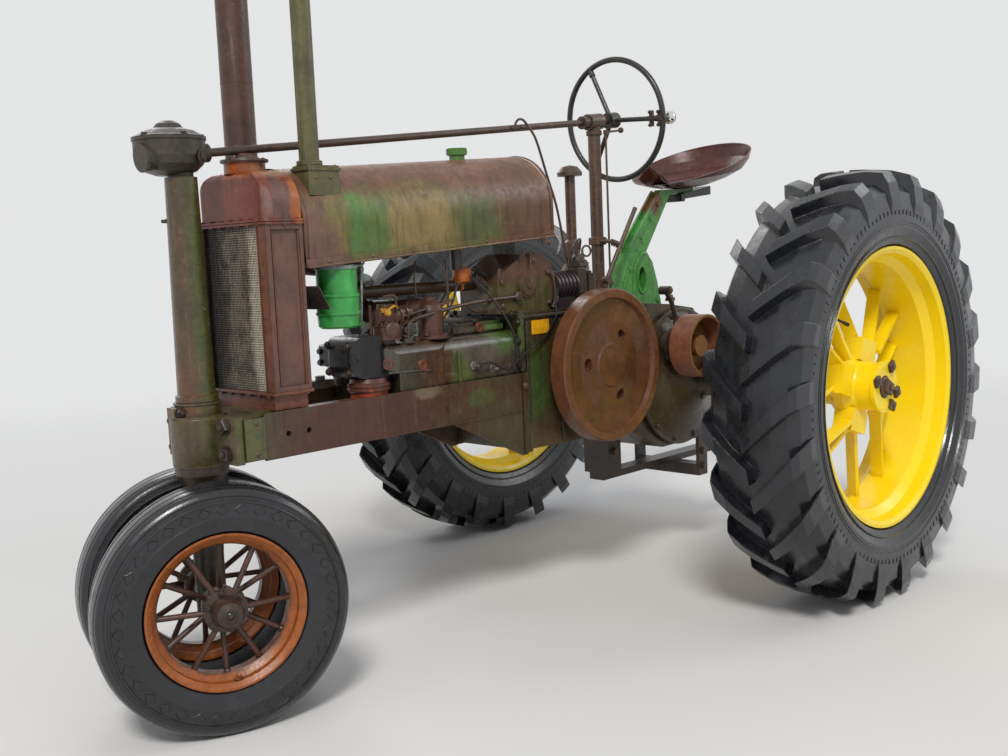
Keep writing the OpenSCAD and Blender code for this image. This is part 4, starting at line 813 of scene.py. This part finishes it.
def engine_block():
    s = Solid()
    for place, out in (((1484, 147, 944), (600, 800, 0)), ((1055, 116.5, 1022), LEFT),
                       ((1360, 165.5, 930), LEFT)):
        s.lathe(place, out, [(0, 2), (7, 2), (9, 6), (16, 6), (18, 3), (18, -4)], 24)
    piece("core_plugs", s, "orange_rust", "tank_rust")
    s.block((930, -120, 998), (1185, 117, 1040), 12)
    s.block((1010, -90, 1036), (1120, 85, 1050), 5)
    for side in (-1, 1):
        s.block((896, 160 * side, 862), (920, 175.5 * side, 1056), 3)
        s.block((620, 165 * side, 1038), (900, 172 * side, 1050), 2)
        for x in (872, 700):
            s.block((x, 165 * side, 600), (x + 14, 171.5 * side, 1030), 2)
    s.block((896, -175, 1050), (920, 175, 1066), 3)
    s.pipe([(1495, 163, 918), (1340, 166.5, 912), (1320, 166.5, 905)], 4, 6)
    piece("block_covers", s, "olive_paint", "block_paint")
    for side in (-1, 1):
        for z in (885, 966, 1030):
            s.bolt((920, 168 * side, z), AHEAD, 11, 3, z * 0.04)
    for y in (-140, -70, 0, 70, 140):
        s.bolt((920, y, 1058), AHEAD, 10, 3, y * 0.04)
    for x in (945, 1060, 1170):
        for y in (-105, 102):
            s.bolt((x, y, 1040), UP, 9, 2, x * 0.03)
    for y in (-120, -60, 0, 60, 120):
        for x in (1340, 1440):
            s.bolt((x, y, 1002), UP, 13, 6, x * y * 9e-5)
    for place in ((1536, -115, 980), (1536, -50, 985), (1500, 135, 900), (1536, -115, 945)):
        s.bolt(place, AHEAD, 10)
    for y, z in ((30, 1010), (126, 1010), (126, 930), (30, 930)):
        s.bolt((1614, y, z), AHEAD, 11, 2)
    piece("engine_bolts", s, "dark_iron", "greased")
    s.ring((1603, 139, 967), (640, 770, 0), 11, 16, 4)
    s.block((1500.5, -132, 926.5), (1506, 150, 1006), 2)
    piece("valve_cover_trim", s, "black_enamel")


def manifold_and_carburettor():
    s = Solid()
    s.ring((1262, 105, 1002), UP, 44, 58, 12, 32)
    for (x, y), (x2, y2) in zip(spots(50, 0.6, 3.7), spots(42, 1.6, 4.7)):
        s.bolt((1262 + x, 105 + y, 1015.5), UP, 11, 10)
        s.bolt((1390 + x2, y2 - 110, 1177), UP, 10, 8)
    for k in (0.25, 0.5, 0.75):
        s.ring((1262 + 128 * k, 105 - 215 * k, 1094), (128, -215, 0), 34, 38.5, 6, 32)
    s.ring((1262, 105, 1115), UP, 20, 24, 20, 24)
    piece("manifold_flanges", s, "orange_rust", "manifold_rust")
    for z in (1016, 1056):
        s.ring((1454, 118, z), UP, 30, 45.5, 6, 32)
    for x, y in spots(40, *(tau * i / 5 + 0.5 for i in range(5))):
        s.rod((1454 + x, 118 + y, 1014), (1454 + x, 118 + y, 1070), 4.5)
    s.lathe((1462, 150, 1046), (300, 950, 0), [(24, 0), (24, 10), (17, 14), (8, 16), (0, 16)], 24)
    s.rod((1500, 100, 1020), (1500, 100, 1125), 4.5)
    s.rod((1430, 140, 1040), (1430, 140, 1135), 4)
    s.pipe([(1430, 140, 1135), (1440, 140, 1150), (1470, 130, 1148)], 4)
    s.ring((1404, 118, 1086), AHEAD, 18, 30, 8)
    s.ring((1372, 112, 1090), AHEAD, 18, 27, 8)
    piece("carburettor_parts", s, "orange_rust", "manifold_rust")
    s.bolt((1470, 128, 1100), UP, 16, 10)
    s.lathe((1476, 150, 1100), (0.2, 1, 0), [(0, 0), (11, 0), (11, 8), (7, 13), (0, 14)], 16)
    s.pipe([(1476, 150, 1105), (1450, 152, 1118), (1425, 140, 1112)], 4)
    s.rod((1098, 90, 1222), (1098, 90, 1236), 6)
    piece("brass_fittings", s, "yellow_paint", "brass")
    s.lathe((1097, 90, 1168), UP, [(0, 0), (14, 1), (28, 8), (31, 18), (31, 50), (28, 54), (0, 54)], 28)
    s.rod((1097, 90, 1150), (1097, 90, 1170), 6)
    piece("sediment_bowl", s, "orange_rust", "amber")


def pipes_and_leads():
    s = Solid()
    s.bolt((1386, 138, 1000), UP, 18, washer=False)
    s.pipe([(1386, 138, 1005), (1385, 140, 1045), (1366, 140, 1069), (1310, 140, 1080), (1111, 140, 1106),
            (890, 141, 1114)], 6.5, 10)
    s.ring((885, 132, 1114), LEFT, 0, 17, 18)
    s.pipe([(1405, 120, 1020), (1400, 125, 1050), (1370, 125, 1066), (1220, 125, 1092)], 6, 10)
    piece("long_pipe", s, "brown_rust", "rod_rust")
    s.pipe([(1425, 130, 1078), (1330, 130, 1094), (1220, 130, 1112), (1175, 130, 1125)], 4.5)
    s.pipe([(1205, 132, 1085), (1203, 130, 1160), (1198, 120, 1250)], 4.5)
    s.pipe([(1310, 100, 1140), (1315, 100, 1200), (1300, 90, 1250)], 3, 6)
    s.pipe([(1130, 100, 1170), (1170, 120, 1120), (1210, 130, 1080), (1250, 130, 1045)], 4)
    s.coil((1045, 90, 1190), (985, 90, 1150), 13, 3, 7)
    s.coil((1010, 60, 1215), (960, 60, 1185), 10, 2.5, 7)
    s.pipe([(1100, 85, 1150), (1090, 90, 1105), (1050, 90, 1075), (990, 90, 1070)], 5)
    piece("throttle_rods", s, "dark_iron", "rod_rust")
    s.pipe([(1105, 110, 1205), (1060, 140, 1158), (1020, 158, 1105), (985, 172, 1050), (960, 180, 1000),
            (949, 184, 951), (953, 186, 907), (983, 186, 877), (1030, 184, 890), (1075, 182, 910),
            (1118, 180, 905)], 3.6)
    s.pipe([(1118, 180, 905), (1132, 178, 902)], 7, steps=1)
    s.pipe([(620, 140, 1190), (600, 150, 1270), (560, 150, 1300), (540, 130, 1262)], 4)
    s.pipe([(660, 150, 1170), (700, 158, 1130), (720, 164, 1070), (740, 176, 1030), (800, 178, 970),
            (900, 186, 930), (980, 186, 885)], 3.5)
    piece("spark_leads", s, "black_enamel")
    for x, z in ((1132, 902), (1045, 884)):
        s.bolt((x, 152, z), (0, 1, 0.1), 17)
        s.rod((x, 160, z), (x, 186, z + 2), 7, 5)
    piece("spark_plugs", s, "dark_iron", "porcelain")
    s.block((764, 165.5, 982), (853, 168, 1030), 0.8)
    piece("blank_tag", s, "yellow_paint", "tag_yellow")
    for z in (868, 880):
        s.ring((1527, 106, z), UP, 55, 65.5, 10, 40)
    s.bolt((1527, 106, 906), UP, 14)
    piece("filter_bands", s, "orange_rust", "filter_red")


def governor_and_magneto():
    s = Solid()
    for x, z in ((722, 1190), (955, 1165), (722, 1085), (955, 1085), (800, 1235)):
        s.bolt((x, 132, z), LEFT, 11, 2, x * 0.03)
    s.pipe([(862, 130, 1222), (862, 139, 1252), (835, 139, 1266), (815, 139, 1250), (815, 135, 1205)], 4)
    s.lathe((834, 140, 1150), LEFT, [(0, 0), (36, 0), (34, 5), (12, 7), (10, 12), (0, 12)], 28)
    s.pipe([(710, 130, 1200), (695, 140, 1160), (700, 150, 1100), (720, 150, 1065)], 7.5)
    s.pipe([(950, 120, 1140), (965, 130, 1180), (955, 125, 1210)], 5.5)
    piece("governor_fittings", s, "brown_rust", "fittings")
    s.block((515, 88, 1100), (576, 142, 1192), 6)
    s.block((470, 92, 1105), (512, 138, 1185), 8)
    piece("magneto_blocks", s, "dark_iron")
    s.block((504, 86, 1196), (570, 146, 1224), 7)
    s.lathe((537, 116, 1222), UP, [(0, 0), (27, 0), (25, 14), (14, 24), (0, 27)], 24)
    for x, y in spots(4, 0.5, 2.6, 4.7):
        s.rod((537 + 4 * x, 116 + 4 * y, 1235), (537 + 5 * x, 116 + 5 * y, 1258), 5, 4)
    s.ring((409, 50, 1256), (0.3, 1, 0), 16, 23, 6)
    piece("magneto_cap", s, "brown_rust", "cap_brown")


def steering():
    s = Solid()
    post_x = 277
    s.ring((post_x, 0, 1276), UP, 23, 34, 30)
    s.bolt((post_x, 33, 1291), LEFT, 12, 6)
    s.pipe([(300, 30, 1291), (260, 55, 1286), (235, 70, 1272)], 7)
    s.coil((262, 52, 1286), (222, 75, 1268), 11, 3, 5)
    s.ring((post_x, 0, 1690), UP, 23, 30, 18)
    s.ring((post_x, 0, 1066), UP, 23, 33, 10)
    for x, y in spots(38, 0.7, 2.3, 3.9, 5.5):
        s.bolt((post_x + x, y, 1064), UP, 9)
    piece("post_clamp", s, "brown_rust", "fittings")
    s.pipe([(738, 22, 1690), (735, 22, 1712), (718, 22, 1726), (695, 22, 1724), (675, 28, 1700), (647, 36, 1655),
            (600, 40, 1530), (557, 40, 1427), (525, 40, 1300), (508, 42, 1219), (500, 45, 1160)], 4.5)
    piece("hooked_rod", s, "dark_iron", "rod_rust")

    # Local Z runs down the steering shaft, which rises 99.3 mm a metre towards the driver
    wheel_x, spoke = 0.16, 86
    wheel = Matrix.Translation((wheel_x, 0, 1.565 + (2.05 - wheel_x) * 0.0993)) @ turn_y(95.67)
    s = Solid(wheel @ Matrix.Rotation(radians(spoke), 4, "Z"))
    for x in (168, 206):
        s.block((x, -30, -24), (x + 13, 30, -6), 2)
        for y in (-24, 24):
            s.bolt((x + 6.5, y, -6), UP, 8, 6, washer=False)
    s.block((160, -10, -28), (236, 10, -2), 3)
    piece("wheel_clamp", s, "dark_iron", "rod_rust", "steering")
    s.lathe((227, 0, -36), DOWN, [(10, -10), (10, 0), (19, 4), (24.5, 14), (24.5, 24), (19, 34), (8, 39),
                                  (0, 39.5)], 32)
    piece("spinner_knob", s, "dark_iron", "chrome", "steering")
    s = Solid(wheel)
    s.bolt((0, 0, -16), DOWN, 22, 8)
    for x, y in spots(1, *(radians(spoke + 120 * i) for i in range(3))):
        s.rod((196 * x, 196 * y, -10.5), (222 * x, 222 * y, -13.5), 12.5, 10.5)
    piece("wheel_collars", s, "black_enamel", "black_rim", "steering")


def seat():
    pan = Matrix.Translation((-0.35, 0, 1.503)) @ turn_y(10)
    s = Solid(pan)
    rows = []
    reach, half = 12, 10
    for k in range(reach + 1):
        r = 150 + 122 * k / reach
        row = []
        for i in range(-half, half + 1):
            swell = cos(pi * i / (2 * half)) ** 2
            height = (22 + (r - 150) * 0.36 + max(0, r - 235) * 0.5 + swell * 52 * (k / reach) ** 1.3
                      - (4 if abs(i) == half else 0) - max(0, k - 10) * 4 * swell)
            a = radians(1.35 * i)
            row.append((r * cos(a), r * sin(a), height))
        rows.append(row)
    s.grid(rows)
    piece("seat_pommel", s, "brown_rust", "seat_rust", thick=5, sharp=1.2)
    s.bolt((20, 0, 6), UP, 16)
    for y in (35, -35):
        s.rivet((-50, y, 7), UP, 9)
    piece("seat_bolts", s, "brown_rust", "seat_rust")
    s = Solid()
    s.prism([(-445, 1470), (-245, 1450), (-245, 1472), (-445, 1506)], -40, 40)
    s.block((-255, -43, 1440), (-225, 43, 1470), 3)
    piece("seat_spring_block", s, "dark_iron", "black_enamel")
    for x, z in ((88, 1234), (33, 1297), (-32, 1372), (-82, 1427)):
        for y in (-1, 1):
            s.bolt((x, 26 * y, z), (0, y, 0), 9)
    for x, z in ((180, 1070), (-50, 1045), (135, 1180)):
        for y in (-1, 1):
            s.bolt((x, 38 * y, z), (0, y, 0), 11)
    for y in (-39, 39):
        s.pipe([(195, y, 1055), (150, y, 1155), (112, y, 1232)], 5, steps=1)
        s.pipe([(110, y, 1050), (100, y, 1160), (60, y, 1228), (24, y, 1236)], 6)
        s.pipe([(53 + 27 * c, y, 1132 + 54 * d) for c, d in around(24, 1) + spots(1, tau)], 5, steps=1)
    piece("support_ribs", s, "green_paint", "support_green")


def rear_end():
    axle = Matrix.Translation((0, 0, AXLE_Z))
    s = Solid(axle)
    for y in (-1, 1):
        for i, (x, z) in enumerate(around(12, 247, 0.5)):
            s.bolt((x, 182 * y, z), (0, y, 0), 13, 3, i)
        for x, z in around(6, 82):
            s.bolt((x, 300 * y, z), (0, y, 0), 10)
    piece("housing_bolts", s, "dark_iron", "greased")
    for y in (-1, 1):
        s.lathe((0, 0, 0), (0, y, 0), [(255, 164), (268, 164), (270, 168), (270, 180), (266, 184.5),
                                       (255, 184.5)], 72)
    piece("housing_flanges", s, "olive_paint", "case_olive")
    s = Solid()
    for y in (-1, 1):
        s.bolt((202, 280 * y, 1096), (0, y, 0), 10)
        s.bolt((138, 266 * y, 985), (0, y, 0), 10)
    for place in ((-160, 164, 360), (-160, 164, 420), (290, 60, 480)):
        s.bolt(place, LEFT, 16)
    s.lathe((-20, 120, 1043), UP, [(0, 0), (20, 0), (20, 12), (12, 16), (12, 24), (0, 24)], 16)
    piece("rear_fittings", s, "brown_rust", "fittings")


camera()
studio()
finishes = make_finishes()
dress()
for make in (front_tyres, rear_tyres, wheel_fittings, radiator, front_end, rails, hood_trim, air_cleaner_fittings,
             engine_block, manifold_and_carburettor, pipes_and_leads, governor_and_magneto, steering, seat, rear_end):
    make()
